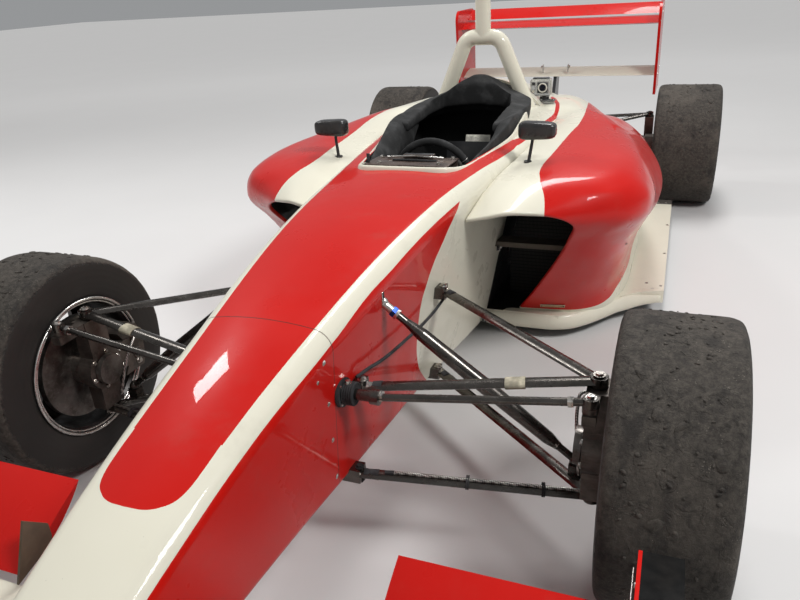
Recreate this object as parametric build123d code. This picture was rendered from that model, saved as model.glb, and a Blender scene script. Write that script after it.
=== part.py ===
from build123d import *
import math
import os

os.makedirs("parts", exist_ok=True)

# Open wheel racing car. Millimetres, +Z up, the nose points to -Y and +X is the car's left.
# While it is modelled, Y counts from the front axle towards the back. The last step of each
# piece shifts it, so that the origin is on the ground below the middle of the whole car.

# Driving dimensions
NOSE_TIP_Y = -950.0
WHEELBASE = 2620.0
REAR_AXLE_Y = WHEELBASE
REAR_END_Y = REAR_AXLE_Y + 780
FRONT_HALF_TRACK = 732.0
REAR_HALF_TRACK = 732.0
FRONT_TYRE_RADIUS = 275.0
FRONT_TYRE_WIDTH = 213.0
REAR_TYRE_RADIUS = 285.0
REAR_TYRE_WIDTH = 290.0
RIM_LIP_RADIUS = 176.0
RIM_SEAT_RADIUS = 165.0
RIM_WALL = 7.0
TYRE_TREAD = 14.0
TYRE_SIDEWALL = 12.0
BEAD_TUCK = 14.0
BULGE = 40.0
RIM_LIP_EDGE = 2.0
PART_GAP = 0.3
RUNNING_GAP = 0.05
SHAFT_GAP = 0.1

# Body
PANEL_Y = -150.0
TUB_END_Y = 1530.0
TUB_WALL = 24.0
COCKPIT_FRONT_Y = 618.0
COCKPIT_BACK_Y = 1440.0
COCKPIT_CORNER_RADIUS = 55.0
RIM_BAND = 18.0
HEADREST_FRONT_Y = 1052.0
HEADREST_PAD = 48.0
HEADREST_BAND = 26.0
DECK_CUT_Z = 480.0
DECK_CUT_HEIGHT = 320.0
RIM_BOTTOM_Z = 560.0
HEADREST_BOTTOM_Z = 570.0
BODY_REACH = 400.0
NOSE_TIP_EDGE = 16.0
PLANK_START_Y = 950.0
PLANK_END_Y = REAR_AXLE_Y - 330
KEEL_START_Y = 1580.0
PLANK_BOTTOM_Z = 35.0
PLANK_TOP_Z = 45.0
PLANK_HALF_WIDTH = 150.0
STEP_Z = 68.0
STEP_THICKNESS = 12.0
LIP_TOP_Z = 90.0
LIP_DEPTH = 42.0
LIP_END_Y = 1220.0
POD_WALL = 14.0
POD_INNER_X = 110.0
POD_FOOT_Z = STEP_Z + STEP_THICKNESS
POD_BACK_Y = REAR_AXLE_Y - 340
POD_FACE_END_Y = 1100.0
RADIATOR_Y = 1110.0
RADIATOR_DEPTH = 46.0
RADIATOR_X = 300.0
RADIATOR_Z = 335.0
RADIATOR_WIDTH = 210.0
RADIATOR_HEIGHT = 480.0
STAY_Y = 890.0
STAY_Z = 350.0
STAY_DEPTH = 60.0
STAY_HEIGHT = 16.0
STAY_LENGTH = 500.0
STAY_X = 350.0
MIRROR_FOOT = (293, 832, 560)
MIRROR_NECK = (312, 850, 690)
MIRROR_STALK_RADIUS = 5.0
MIRROR_PLACE = (322, 852, 702)
MIRROR_SIZE = (106, 50, 50)
MIRROR_EDGE = 18.0
CAMERA_X = 230.0
CAMERA_Y = 1600.0
COVER_HALF_WIDTH = 213.0
COVER_WALL = 8.0
COVER_CLEARANCE = 3.0

# Steering and suspension
KINGPIN_X = 600.0
KINGPIN_RADIUS = 8.0
UPPER_BALL_Z = 423.0
LOWER_BALL_Z = 160.0
STEER_ARM = 90.0
TOE_LINK_ARM = 80.0
TRACK_ROD_Z = 432.0
TRACK_ROD_RADIUS = 7.5
RACK_Y = -124.0
RACK_Z = 398.0
RACK_RADIUS = 11.0
RACK_HOUSING_RADIUS = 20.0
RACK_HOUSING_HALF = 165.0
RACK_TOWER_RADIUS = 19.0
RACK_TOWER_LENGTH = 60.0
EYE_RADIUS = 17.0
EYE_HEIGHT = 20.0
PIN_END = 4.0
BRACKET_LENGTH = 54.0
BRACKET_DEPTH = 34.0
BRACKET_HEIGHT = 30.0
FOOT_REACH = 24.0
LEG_WIDTH = 32.0
LEG_THICKNESS = 16.0
UPRIGHT_THICKNESS = 40.0
UPRIGHT_HALF_LENGTH = 32.0
HUB_SHAFT_RADIUS = 30.0
HUB_BARREL_RADIUS = 45.0
HUB_FLANGE_RADIUS = 62.0
HUB_FLANGE = 14.0
HUB_NUT = 14.0
HUB_NUT_RADIUS = 38.0
HUB_SPIGOT_RADIUS = 24.0
DISC_RADIUS = 130.0
DISC_THICKNESS = 18.0
DISC_OFFSET = 30.0
CALIPER_INNER_RADIUS = 88.0
CALIPER_OUTER_RADIUS = 147.0
CALIPER_CLEARANCE = 4.0
CALIPER_HEIGHT = 120.0
CALIPER_OVERHANG = 26.0
RIM_FACE_THICKNESS = 14.0
WINDOW_CIRCLE = 108.0
WINDOW_COUNT = 8
WINDOW_RADIUS = 31.0
FRONT_FACE_X = 770.0
RIM_TUCK = 2.0
REAR_FACE_X = 790.0
REAR_KINGPIN_X = 556.0
REAR_UPPER_BALL_Z = 430.0
REAR_LOWER_BALL_Z = 160.0
DRIVESHAFT_RADIUS = 14.0
OUTPUT_FLANGE = 30.0
OUTPUT_RADIUS = 48.0
JOINT_LENGTH = 65.0
INNER_JOINT_RADIUS = 36.0
OUTER_JOINT_RADIUS = 32.0
GEARBOX_HALF_WIDTH = 105.0
GEARBOX_BOTTOM_Z = 172.0
GEARBOX_TOP_Z = 390.0
GEARBOX_END_Y = REAR_AXLE_Y + 280
ENGINE_HALF_WIDTH = 185.0
ENGINE_TOP_Z = 500.0
ENGINE_START_Y = 1536.0
ENGINE_END_Y = REAR_AXLE_Y - 560
CRASH_BOX_END_Y = REAR_AXLE_Y + 642
EXHAUST_END_Y = REAR_AXLE_Y + 220
EXHAUST_Z = 452.0
EXHAUST_RADIUS = 30.0
EXHAUST_WALL = 4.0
HOOP_Y = 1498.0
HOOP_RADIUS = 27.5
HOOP_BEND = 52.0
HOOP_PATH = ((-190, 600), (-61, 903), (61, 903), (190, 600))
MAST_BOTTOM_Z = 905.0
MAST_TOP_Z = 1090.0
RACK_TRAVEL = 28.0

# Wings
FRONT_ENDPLATE_X = 695.0
FLAP_INNER_X = 333.0
FLAP_VANE = ((-539, 168), (-493, 275), (-450, 233), (-446, 206), (-480, 184))
VANE_THICKNESS = 5.0
FRONT_ENDPLATE_BACK_Y = -330.0
FRONT_ENDPLATE_FRONT_Y = -900.0
FRONT_ENDPLATE_TOP_Z = 350.0
REAR_ENDPLATE_X = 545.0
REAR_ENDPLATE_THICKNESS = 14.0
REAR_ENDPLATE_FRONT_Y = REAR_AXLE_Y + 400

CENTRE_Y = (NOSE_TIP_Y + REAR_END_Y) / 2

# Shoulder of a tyre, as drops below its tread and insets from its side
TYRE_SHOULDER = ((22, 1), (5, 11), (0, 28))

# Wing elements: place and height of the nose, chord, thickness and angle
WING_ELEMENTS = {
    "front_main": {"y": -830, "z": 118, "chord": 300, "thickness": 34, "angle": 8},
    "front_flap": {"y": -524, "z": 172, "chord": 188, "thickness": 20, "angle": 29},
    "rear_main": {"y": REAR_ENDPLATE_FRONT_Y + 80, "z": 822, "chord": 170, "thickness": 26, "angle": 10},
    "rear_flap": {"y": REAR_ENDPLATE_FRONT_Y + 236, "z": 862, "chord": 104, "thickness": 14, "angle": 31},
    "rear_beam": {"y": REAR_ENDPLATE_FRONT_Y + 110, "z": 548, "chord": 150, "thickness": 22, "angle": 14},
}
# Outlines along the car, as places and heights
WING_PYLON = ((-810, 122), (-640, 140), (-640, 240), (-810, 240))
WING_PYLON_X = 56.0
WING_PYLON_THICKNESS = 8.0
FRONT_ENDPLATE = (
    (FRONT_ENDPLATE_FRONT_Y, 52), (FRONT_ENDPLATE_BACK_Y, 52),
    (FRONT_ENDPLATE_BACK_Y, FRONT_ENDPLATE_TOP_Z), (FRONT_ENDPLATE_BACK_Y - 260, FRONT_ENDPLATE_TOP_Z),
    (FRONT_ENDPLATE_FRONT_Y, FRONT_ENDPLATE_TOP_Z - 160),
)
FRONT_ENDPLATE_THICKNESS = 8.0
FRONT_FLANGE_WIDTH = 62.0
FRONT_FLANGE_LENGTH = 260.0
FRONT_FLANGE_THICKNESS = 4.0
REAR_ENDPLATE = (
    (REAR_ENDPLATE_FRONT_Y + 40, 455), (REAR_END_Y, 455), (REAR_END_Y, 925), (REAR_ENDPLATE_FRONT_Y, 925),
)
REAR_ENDPLATE_CORNER = 60.0
WING_POST = (
    (REAR_ENDPLATE_FRONT_Y + 20, 365), (REAR_ENDPLATE_FRONT_Y + 180, 365),
    (REAR_ENDPLATE_FRONT_Y + 220, 560), (REAR_ENDPLATE_FRONT_Y + 130, 560),
)
WING_POST_THICKNESS = 18.0
SEAT_OUTLINE = ((930, 60), (1236, 60), (1420, 540), (1390, 548), (1210, 106), (930, 126))
SEAT_HALF_WIDTH = 112.0

# Body sections, one row each: place, half width and height of the top edge, rise of the middle,
# half width and height of the bottom edge, radius of the top edge and of the bottom edge
NOSE_SECTIONS = (
    {"y": NOSE_TIP_Y, "half": 72, "edge": 286, "rise": 10, "foot": 66, "keel": 200, "top_r": 26, "low_r": 22},
    {"y": -780, "half": 90, "edge": 354, "rise": 13, "foot": 84, "keel": 199, "top_r": 32, "low_r": 22},
    {"y": -600, "half": 104, "edge": 420, "rise": 15, "foot": 98, "keel": 198, "top_r": 36, "low_r": 22},
    {"y": -380, "half": 122, "edge": 483, "rise": 16, "foot": 110, "keel": 193, "top_r": 38, "low_r": 22},
    {"y": PANEL_Y, "half": 143, "edge": 535, "rise": 16, "foot": 121, "keel": 182, "top_r": 40, "low_r": 20},
)
TUB_SECTIONS = (
    {"y": PANEL_Y, "half": 143, "edge": 535, "rise": 16, "foot": 121, "keel": 182, "top_r": 40, "low_r": 20},
    {"y": 0, "half": 162, "edge": 565, "rise": 16, "foot": 126, "keel": 170, "top_r": 44, "low_r": 20},
    {"y": 300, "half": 192, "edge": 606, "rise": 17, "foot": 131, "keel": 140, "top_r": 45, "low_r": 20},
    {"y": 600, "half": 224, "edge": 620, "rise": 20, "foot": 136, "keel": 98, "top_r": 42, "low_r": 20},
    {"y": 950, "half": 262, "edge": 624, "rise": 34, "foot": 143, "keel": 50, "top_r": 38, "low_r": 20},
    {"y": 1250, "half": 290, "edge": 626, "rise": 48, "foot": 148, "keel": 46, "top_r": 38, "low_r": 20},
    {"y": TUB_END_Y, "half": 296, "edge": 626, "rise": 52, "foot": 148, "keel": 46, "top_r": 38, "low_r": 20},
)
COVER_SECTIONS = (
    {"y": TUB_END_Y + 8, "half": 213, "edge": 642, "rise": 112, "foot": 213},
    {"y": REAR_AXLE_Y - 720, "half": 205, "edge": 610, "rise": 86, "foot": 213},
    {"y": REAR_AXLE_Y - 320, "half": 168, "edge": 540, "rise": 66, "foot": 190},
    {"y": REAR_AXLE_Y + 140, "half": 112, "edge": 470, "rise": 52, "foot": 130},
)
COVER_BOTTOM_Z = 420.0

# Opening of the cockpit, as half widths
COCKPIT_OUTLINE = (
    {"y": COCKPIT_FRONT_Y, "half": 138},
    {"y": 800, "half": 168},
    {"y": 1020, "half": 205},
    {"y": 1300, "half": 208},
    {"y": COCKPIT_BACK_Y, "half": 176},
)
# Height of the rim and of the headrest along the car
RIM_PROFILE = ({"y": 590, "z": 654}, {"y": 850, "z": 664}, {"y": HEADREST_FRONT_Y, "z": 678})
HEADREST_PROFILE = (
    {"y": HEADREST_FRONT_Y, "z": 680},
    {"y": 1290, "z": 706},
    {"y": 1390, "z": 756},
    {"y": 1440, "z": 782},
    {"y": 1470, "z": 776},
)
HEADREST_SIDE_X = 262.0
HEADREST_SIDE_Z = 674.0
HEADREST_PEAK_Z = 784.0

# Left sidepod, one row each: place, height inboard, crest of the top (c), shoulder (s), widest point (w),
# waist (a), shin (b) and foot (f)
POD_SECTIONS = (
    {"y": 490, "top": 532, "cx": 250, "cz": 548, "sx": 322, "sz": 534, "wx": 346, "wz": 508,
     "ax": 328, "az": 468, "bx": 290, "bz": 446, "fx": 250, "fz": 430},
    {"y": 560, "top": 556, "cx": 270, "cz": 576, "sx": 362, "sz": 560, "wx": 394, "wz": 530,
     "ax": 368, "az": 478, "bx": 338, "bz": 450, "fx": 300, "fz": 430},
    {"y": 650, "top": 582, "cx": 300, "cz": 600, "sx": 428, "sz": 574, "wx": 470, "wz": 522,
     "ax": 440, "az": 466, "bx": 410, "bz": 440, "fx": 370, "fz": 415},
    {"y": 740, "top": 598, "cx": 340, "cz": 613, "sx": 530, "sz": 584, "wx": 590, "wz": 512,
     "ax": 515, "az": 430, "bx": 458, "bz": 392, "fx": 400, "fz": 364},
    {"y": 820, "top": 605, "cx": 370, "cz": 620, "sx": 576, "sz": 590, "wx": 638, "wz": 500,
     "ax": 566, "az": 394, "bx": 474, "bz": 320, "fx": 345, "fz": 260},
    {"y": 900, "top": 610, "cx": 380, "cz": 624, "sx": 588, "sz": 594, "wx": 650, "wz": 490,
     "ax": 584, "az": 350, "bx": 492, "bz": 244, "fx": 285, "fz": 150},
    {"y": 1010, "top": 616, "cx": 380, "cz": 628, "sx": 588, "sz": 597, "wx": 653, "wz": 478,
     "ax": 596, "az": 300, "bx": 550, "bz": 190, "fx": 485, "fz": POD_FOOT_Z},
    {"y": 1180, "top": 626, "cx": 370, "cz": 636, "sx": 566, "sz": 600, "wx": 653, "wz": 462,
     "ax": 604, "az": 250, "bx": 588, "bz": 164, "fx": 566, "fz": POD_FOOT_Z},
    {"y": 1480, "top": 644, "cx": 340, "cz": 650, "sx": 500, "sz": 596, "wx": 648, "wz": 440,
     "ax": 610, "az": 210, "bx": 602, "bz": 142, "fx": 590, "fz": POD_FOOT_Z},
    {"y": REAR_AXLE_Y - 820, "top": 650, "cx": 270, "cz": 650, "sx": 400, "sz": 580, "wx": 606, "wz": 420,
     "ax": 590, "az": 190, "bx": 589, "bz": 134, "fx": 584, "fz": POD_FOOT_Z},
    {"y": POD_BACK_Y, "top": 540, "cx": 200, "cz": 532, "sx": 310, "sz": 484, "wx": 470, "wz": 330,
     "ax": 472, "az": 190, "bx": 473, "bz": 134, "fx": 470, "fz": POD_FOOT_Z},
)
# Three corners of the raked inlet: the top inner, top outer and lower corner
INLET_TOP_INNER = (212.0, 510.0, 542.0)
INLET_TOP_OUTER = (458.0, 648.0, 492.0)
INLET_FOOT = (253.0, 959.0, 91.0)

# Feet of the wishbones' legs along the body
FRONT_UPPER_FEET = ({"y": -75, "z": 385}, {"y": 363, "z": 403})
FRONT_LOWER_FEET = ({"y": -92, "z": 183}, {"y": 395, "z": 152})
REAR_UPPER_FEET = ({"y": REAR_AXLE_Y - 250, "z": 372}, {"y": REAR_AXLE_Y + 180, "z": 372})
REAR_LOWER_FEET = ({"y": REAR_AXLE_Y - 290, "z": 160}, {"y": REAR_AXLE_Y + 180, "z": 160})
# Pushrods: both ends, and their radius at parts of their length
FRONT_PUSHROD = ((560, 55, 196), (150, 50, 518))
REAR_PUSHROD = ((REAR_KINGPIN_X - 60, REAR_AXLE_Y - 12, 190), (100, REAR_AXLE_Y - 100, 370))
PUSHROD_TAPER = ((0.0, 8), (0.08, 8), (0.14, 14), (0.45, 17), (0.78, 14), (0.86, 8), (1.0, 8))
PUSHROD_LUG = 26.0
TRACK_ROD_EYE_RADIUS = 14.0
TRACK_ROD_EYE_HEIGHT = 18.0
TRACK_ROD_PAD_Z = TRACK_ROD_Z - TRACK_ROD_EYE_HEIGHT / 2 - PART_GAP

# Steering column, from the rack to the steering wheel
COLUMN_RADIUS = 9.0
STEERING_WHEEL_RADIUS = 118.0
STEERING_GRIP_RADIUS = 12.0
WHEEL_HUB = Vector(0, 880, 545)
COLUMN_DIRECTION = (WHEEL_HUB - Vector(0, RACK_Y, RACK_Z)).normalized()
DASH_Y = 660.0
COLUMN_Z_AT_DASH = RACK_Z + (WHEEL_HUB.Z - RACK_Z) * (DASH_Y - RACK_Y) / (WHEEL_HUB.Y - RACK_Y)
TOW_EYE_RADIUS = 15.0
JACK_BAR_RADIUS = 12.0
JACK_BAR_HALF = 150.0
TOW_EYE_PLACE = (0, CRASH_BOX_END_Y + 22, 275)
TOW_EYE_OUTER = 22.0
TOW_EYE_THICKNESS = 10.0
CRASH_BOX_FRONT = {"z": 300, "width": 170, "height": 150}
CRASH_BOX_BACK = {"z": 310, "width": 110, "height": 110}

# Outline of the floor's left half, from the middle of its front edge back
FLOOR_OUTLINE = (
    {"x": 388, "y": 932},
    {"x": 448, "y": 972},
    {"x": 505, "y": 1044},
    {"x": 560, "y": 1128},
    {"x": 626, "y": 1185},
    {"x": 700, "y": 1212},
    {"x": 700, "y": REAR_AXLE_Y - 294},
    {"x": 560, "y": REAR_AXLE_Y - 294},
    {"x": 500, "y": REAR_AXLE_Y - 220},
)
FLOOR_FRONT_Y = 932.0
DIFFUSER_END_Y = REAR_AXLE_Y + 340
DIFFUSER_END_Z = 150.0
DIFFUSER_HALF_WIDTH = 440.0
DIFFUSER_PLATE = 8.0
FENCE_THICKNESS = 6.0
FENCE_PLACES = (-437, -150, 150, 437)
FENCE_RUN = 60.0
FENCE_END_Z = 90.0


def side_x(y, z):
    """Half width of the nose and tub at a place along the car and a height."""
    rows = NOSE_SECTIONS + TUB_SECTIONS
    for near, far in zip(rows, rows[1:]):
        if near["y"] <= y <= far["y"] and far["y"] > near["y"]:
            part = (y - near["y"]) / (far["y"] - near["y"])
            top = near["half"] + part * (far["half"] - near["half"])
            foot = near["foot"] + part * (far["foot"] - near["foot"])
            edge = near["edge"] + part * (far["edge"] - near["edge"])
            keel = near["keel"] + part * (far["keel"] - near["keel"])
            return foot + (top - foot) * (z - keel) / (edge - keel)
    raise ValueError("no body section at this place")


def across(y):
    """Plane across the car, with X to the left and Z up."""
    return Plane(origin=(0, y, 0), x_dir=(1, 0, 0), z_dir=(0, -1, 0))


def along_side(x=0.0):
    """Plane along the car, with its first axis to the back and its second axis up."""
    return Plane(origin=(x, 0, 0), x_dir=(0, 1, 0), z_dir=(1, 0, 0))


def body_section(row, inset=0.0):
    """Closed section of the nose or tub, inset by a wall where it is hollow."""
    half = row["half"] - inset
    edge = row["edge"] - inset
    foot = row["foot"] - inset
    keel = row["keel"] + inset
    top = ThreePointArc((-half, edge), (0, edge + row["rise"]), (half, edge))
    sides = Polyline((half, edge), (foot, keel), (-foot, keel), (-half, edge))
    face = make_face([top, sides])
    corners = face.vertices().sort_by(Axis.Y)
    face = fillet(corners[-2:], row["top_r"] - inset / 2)
    corners = face.vertices().sort_by(Axis.Y)
    face = fillet(corners[:2], row["low_r"] - inset / 2)
    return across(row["y"]) * face


def cover_section(row, inset=0.0):
    """Section of the engine cover, whose inner form runs out through its open bottom."""
    half = row["half"] - inset
    edge = row["edge"] - inset / 2
    foot = row["foot"] - inset
    bottom = COVER_BOTTOM_Z - 3 * inset
    top = ThreePointArc((-half, edge), (0, edge + row["rise"] - inset / 2), (half, edge))
    sides = Polyline((half, edge), (foot, bottom), (-foot, bottom), (-half, edge))
    return across(row["y"]) * make_face([top, sides])


def pod_section(row, inset=0.0):
    """Section of the left sidepod, inset by its wall where it is hollow."""
    bottom = row["fz"] + inset
    inner = (POD_INNER_X, row["top"] - inset)
    crest = (row["cx"], row["cz"] - inset)
    shoulder = (row["sx"] - inset, row["sz"] - inset)
    widest = (row["wx"] - inset, row["wz"])
    waist = (row["ax"] - inset, row["az"])
    shin = (row["bx"] - inset, row["bz"])
    foot = (row["fx"] - inset, bottom)
    top = ThreePointArc(inner, crest, shoulder)
    flank = ThreePointArc(shoulder, widest, waist)
    lower = ThreePointArc(waist, shin, foot)
    rest = Polyline(foot, (POD_INNER_X, bottom), inner)
    set_back = inset if row["y"] < POD_FACE_END_Y else 0
    return across(row["y"] + set_back) * make_face([top, flank, lower, rest])


def mirrored(shape):
    """The same shape on the other side of the car."""
    return mirror(shape, about=Plane.YZ)


def both_sides(shape):
    """A shape and its mirror image as one compound of separate solids."""
    return Compound([*shape.solids(), *mirrored(shape).solids()])


def cylinder_between(start, end, radius):
    """Round bar between two points."""
    start = Vector(*start)
    direction = Vector(*end) - start
    return extrude(Plane(origin=start, z_dir=direction) * Circle(radius), direction.length)


def leg_between(start, end, width=LEG_WIDTH, thickness=LEG_THICKNESS):
    """Oval suspension leg between two points, with its wide side level."""
    direction = Vector(*end) - Vector(*start)
    level = Vector(-direction.Y, direction.X, 0)
    plane = Plane(origin=start, x_dir=level, z_dir=direction)
    over = ThreePointArc((-width / 2, 0), (0, thickness / 2), (width / 2, 0))
    under = ThreePointArc((width / 2, 0), (0, -thickness / 2), (-width / 2, 0))
    return extrude(plane * make_face([over, under]), direction.length)


def axial_cylinder(x0, x1, y, z, radius):
    """Cylinder along X between two places."""
    return Pos((x0 + x1) / 2, y, z) * Rot(0, 90, 0) * Cylinder(radius, abs(x1 - x0))


def cockpit_plan(grow=0.0):
    """Outline of the cockpit opening in plan, grown or shrunk."""
    left = [(row["half"], row["y"]) for row in COCKPIT_OUTLINE]
    right = [(-x, y) for x, y in reversed(left)]
    face = make_face(Polyline(*left, *right, close=True))
    corners = face.vertices().sort_by(Axis.Y)
    face = fillet([*corners[:2], *corners[-2:]], COCKPIT_CORNER_RADIUS)
    if grow:
        face = offset(face, amount=grow)
    return face


def side_profile(rows, bottom):
    """Block across the car whose top follows a row of places and heights."""
    points = [(row["y"], row["z"]) for row in rows]
    outline = Polyline((points[0][0], bottom), *points, (points[-1][0], bottom), close=True)
    return extrude(along_side(-BODY_REACH) * make_face(outline), 2 * BODY_REACH)


def slab(start_y, end_y, bottom, top, half_width):
    """Flat block across the car between two places and two heights."""
    block = Box(2 * half_width, end_y - start_y, top - bottom)
    return Pos(0, (start_y + end_y) / 2, (bottom + top) / 2) * block


def tub_outer():
    """Outer form of the tub, which also cuts everything that seats on it."""
    return loft([body_section(row) for row in TUB_SECTIONS])


def tub_inner():
    """Space inside the tub, one wall short of it at every side."""
    rows = [dict(row) for row in TUB_SECTIONS]
    rows[0]["y"] += TUB_WALL
    rows[-1]["y"] -= TUB_WALL
    return loft([body_section(row, TUB_WALL) for row in rows])


def make_tub(outer, inner):
    """Tub with its cockpit opening, and the holes for the rack and its tower."""
    opening = extrude(Pos(0, 0, DECK_CUT_Z) * cockpit_plan(), DECK_CUT_HEIGHT)
    rack_hole = axial_cylinder(-BODY_REACH, BODY_REACH, RACK_Y, RACK_Z, RACK_HOUSING_RADIUS + PART_GAP)
    return outer - inner - opening - rack_hole - rack_tower(RACK_TOWER_RADIUS + PART_GAP)


def make_nose_cone():
    nose = loft([body_section(row) for row in NOSE_SECTIONS])
    tip_edges = nose.faces().sort_by(Axis.Y)[0].edges()
    return fillet(tip_edges, NOSE_TIP_EDGE)


def make_cockpit_rim(outer):
    """Raised rim round the front of the opening, seated on the tub's deck."""
    plan = cockpit_plan(RIM_BAND) - cockpit_plan()
    band = extrude(Pos(0, 0, DECK_CUT_Z) * plan, DECK_CUT_HEIGHT)
    return band & side_profile(RIM_PROFILE, RIM_BOTTOM_Z) - outer


def make_headrest(outer):
    """Foam pad round the back of the opening, arched across the car and rising to the back."""
    plan = cockpit_plan(HEADREST_BAND) - cockpit_plan(-HEADREST_PAD)
    pad = extrude(Pos(0, 0, DECK_CUT_Z) * plan, DECK_CUT_HEIGHT)
    pad = pad & side_profile(HEADREST_PROFILE, HEADREST_BOTTOM_Z)
    left = (HEADREST_SIDE_X, HEADREST_SIDE_Z)
    right = (-HEADREST_SIDE_X, HEADREST_SIDE_Z)
    arch = ThreePointArc(right, (0, HEADREST_PEAK_Z), left)
    sides = Polyline(left, (HEADREST_SIDE_X, DECK_CUT_Z), (-HEADREST_SIDE_X, DECK_CUT_Z), right)
    length = COCKPIT_BACK_Y - COCKPIT_FRONT_Y
    dome = extrude(across(COCKPIT_BACK_Y) * make_face([arch, sides]), length, both=True)
    return (pad & dome) - outer


def cover_outer():
    return loft([cover_section(row) for row in COVER_SECTIONS])


def make_engine_cover(outer):
    """Thin cover, open below, over the engine and gearbox."""
    return outer - loft([cover_section(row, COVER_WALL) for row in COVER_SECTIONS])


def pod_form(inset=0.0):
    return loft([pod_section(row, inset) for row in POD_SECTIONS], ruled=True)


def inlet_cut():
    """Everything ahead of the raked plane of the sidepod's inlet."""
    inner = Vector(*INLET_TOP_INNER)
    across_inlet = Vector(*INLET_TOP_OUTER) - inner
    down_inlet = Vector(*INLET_FOOT) - inner
    rake = Plane(origin=INLET_TOP_INNER, z_dir=down_inlet.cross(across_inlet))
    return rake * Pos(0, 0, 600) * Box(3000, 3000, 1200)


def make_sidepod(tub, floor):
    """Left sidepod: a thin shell with a raked inlet, seated on the tub, the floor and beside the cover."""
    shell = pod_form() - pod_form(POD_WALL)
    shell = shell - inlet_cut()
    middle = slab(TUB_END_Y, REAR_END_Y, 0, MAST_TOP_Z, COVER_HALF_WIDTH + COVER_CLEARANCE)
    return shell - tub - middle - floor


def floor_half(points):
    outline = [(0, FLOOR_FRONT_Y), *points, (0, points[-1][1])]
    return make_face(Polyline(*outline, close=True))


def make_floor(tub):
    """Floor plate with its raised front lips, the plank and the keel between them."""
    points = [(row["x"], row["y"]) for row in FLOOR_OUTLINE]
    left = floor_half(points)
    plate = extrude(Pos(0, 0, STEP_Z) * left, STEP_THICKNESS)
    front = Pos(0, (FLOOR_FRONT_Y + LIP_END_Y) / 2) * Rectangle(4 * BODY_REACH, LIP_END_Y - FLOOR_FRONT_Y)
    lip_plan = left & front
    lip_plan = lip_plan - Pos(0, LIP_DEPTH) * lip_plan
    lip = extrude(Pos(0, 0, PLANK_TOP_Z) * lip_plan, LIP_TOP_Z - PLANK_TOP_Z)
    half = plate + lip
    whole = half + mirrored(half)
    plank = slab(PLANK_START_Y, PLANK_END_Y, PLANK_BOTTOM_Z, PLANK_TOP_Z, PLANK_HALF_WIDTH)
    keel = slab(KEEL_START_Y, PLANK_END_Y, PLANK_TOP_Z, STEP_Z, PLANK_HALF_WIDTH)
    return whole + plank + keel - tub


def make_diffuser():
    """Rising plate behind the floor, with four fences below it."""
    start = (FLOOR_OUTLINE[-1]["y"], STEP_Z + STEP_THICKNESS)
    end = (DIFFUSER_END_Y, DIFFUSER_END_Z)
    top = ((end[0], end[1] + DIFFUSER_PLATE), (start[0], start[1] + DIFFUSER_PLATE))
    ramp = Polyline(start, end, *top, close=True)
    plate = extrude(along_side(-DIFFUSER_HALF_WIDTH) * make_face(ramp), 2 * DIFFUSER_HALF_WIDTH)
    low_edge = ((end[0], FENCE_END_Z), (start[0] + FENCE_RUN, STEP_Z), (start[0], STEP_Z))
    fence = make_face(Polyline(start, end, *low_edge, close=True))
    fences = [extrude(along_side(x - FENCE_THICKNESS / 2) * fence, FENCE_THICKNESS) for x in FENCE_PLACES]
    return plate + fences


def make_roll_hoop(tub):
    """Bent tube behind the headrest, with the mast on its top."""
    path = across(HOOP_Y) * FilletPolyline(*HOOP_PATH, radius=HOOP_BEND)
    start = path @ 0
    hoop = sweep(Plane(origin=start, z_dir=path % 0) * Circle(HOOP_RADIUS), path)
    mast_height = MAST_TOP_Z - MAST_BOTTOM_Z
    mast = Pos(0, HOOP_Y, MAST_BOTTOM_Z + mast_height / 2) * Cylinder(HOOP_RADIUS, mast_height)
    return hoop + mast - tub


def wing_element(name, half_span, start_x=0.0):
    """Cambered wing section extruded from one place across the car to another."""
    row = WING_ELEMENTS[name]
    chord = row["chord"]
    lower = ThreePointArc((0, 0), (0.35 * chord, -0.75 * row["thickness"]), (chord, 0))
    upper = ThreePointArc((chord, 0), (0.35 * chord, 0.25 * row["thickness"]), (0, 0))
    section = Pos(row["y"], row["z"]) * Rot(0, 0, row["angle"]) * make_face([lower, upper])
    return extrude(along_side(start_x) * section, half_span - start_x)


def mirrored_outline(side):
    """Closed outline from the points of its one half, as (radius, place across)."""
    return make_face(Polyline(*side, *[(radius, -place) for radius, place in reversed(side)], close=True))


def make_tyre(radius, width):
    """Slick tyre about the Y axis, open at its bead where the rim closes it."""
    half = width / 2
    bead = RIM_SEAT_RADIUS
    side = [(bead, half - BEAD_TUCK), (bead + BULGE, half)]
    side += [(radius - drop, half - inset) for drop, inset in TYRE_SHOULDER]
    room = half - TYRE_SIDEWALL
    core = [(bead - 1, half - 2 * BEAD_TUCK), (bead + BULGE, room), (radius - TYRE_TREAD, room - 10)]
    return revolve(Plane.XY * (mirrored_outline(side) - mirrored_outline(core)), Axis.Y)


def make_rim(half, face_y):
    """Wheel rim about the Y axis, with its lips, barrel and drilled face towards +Y."""
    seat = RIM_SEAT_RADIUS - PART_GAP
    inner = seat - RIM_WALL
    edge = half + RIM_LIP_EDGE
    side = [(inner, half - 12), (RIM_LIP_RADIUS - RIM_WALL, edge), (RIM_LIP_RADIUS, edge),
            (RIM_LIP_RADIUS, half - 3), (seat, half - 10)]
    barrel = revolve(Plane.XY * mirrored_outline(side), Axis.Y)
    face = Cylinder(inner + 1, RIM_FACE_THICKNESS)
    face -= Cylinder(HUB_SPIGOT_RADIUS + PART_GAP, 2 * RIM_FACE_THICKNESS)
    face -= PolarLocations(WINDOW_CIRCLE, WINDOW_COUNT) * Cylinder(WINDOW_RADIUS, 2 * RIM_FACE_THICKNESS)
    return barrel + Pos(0, face_y + RIM_FACE_THICKNESS / 2, 0) * Rot(90, 0, 0) * face


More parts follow.
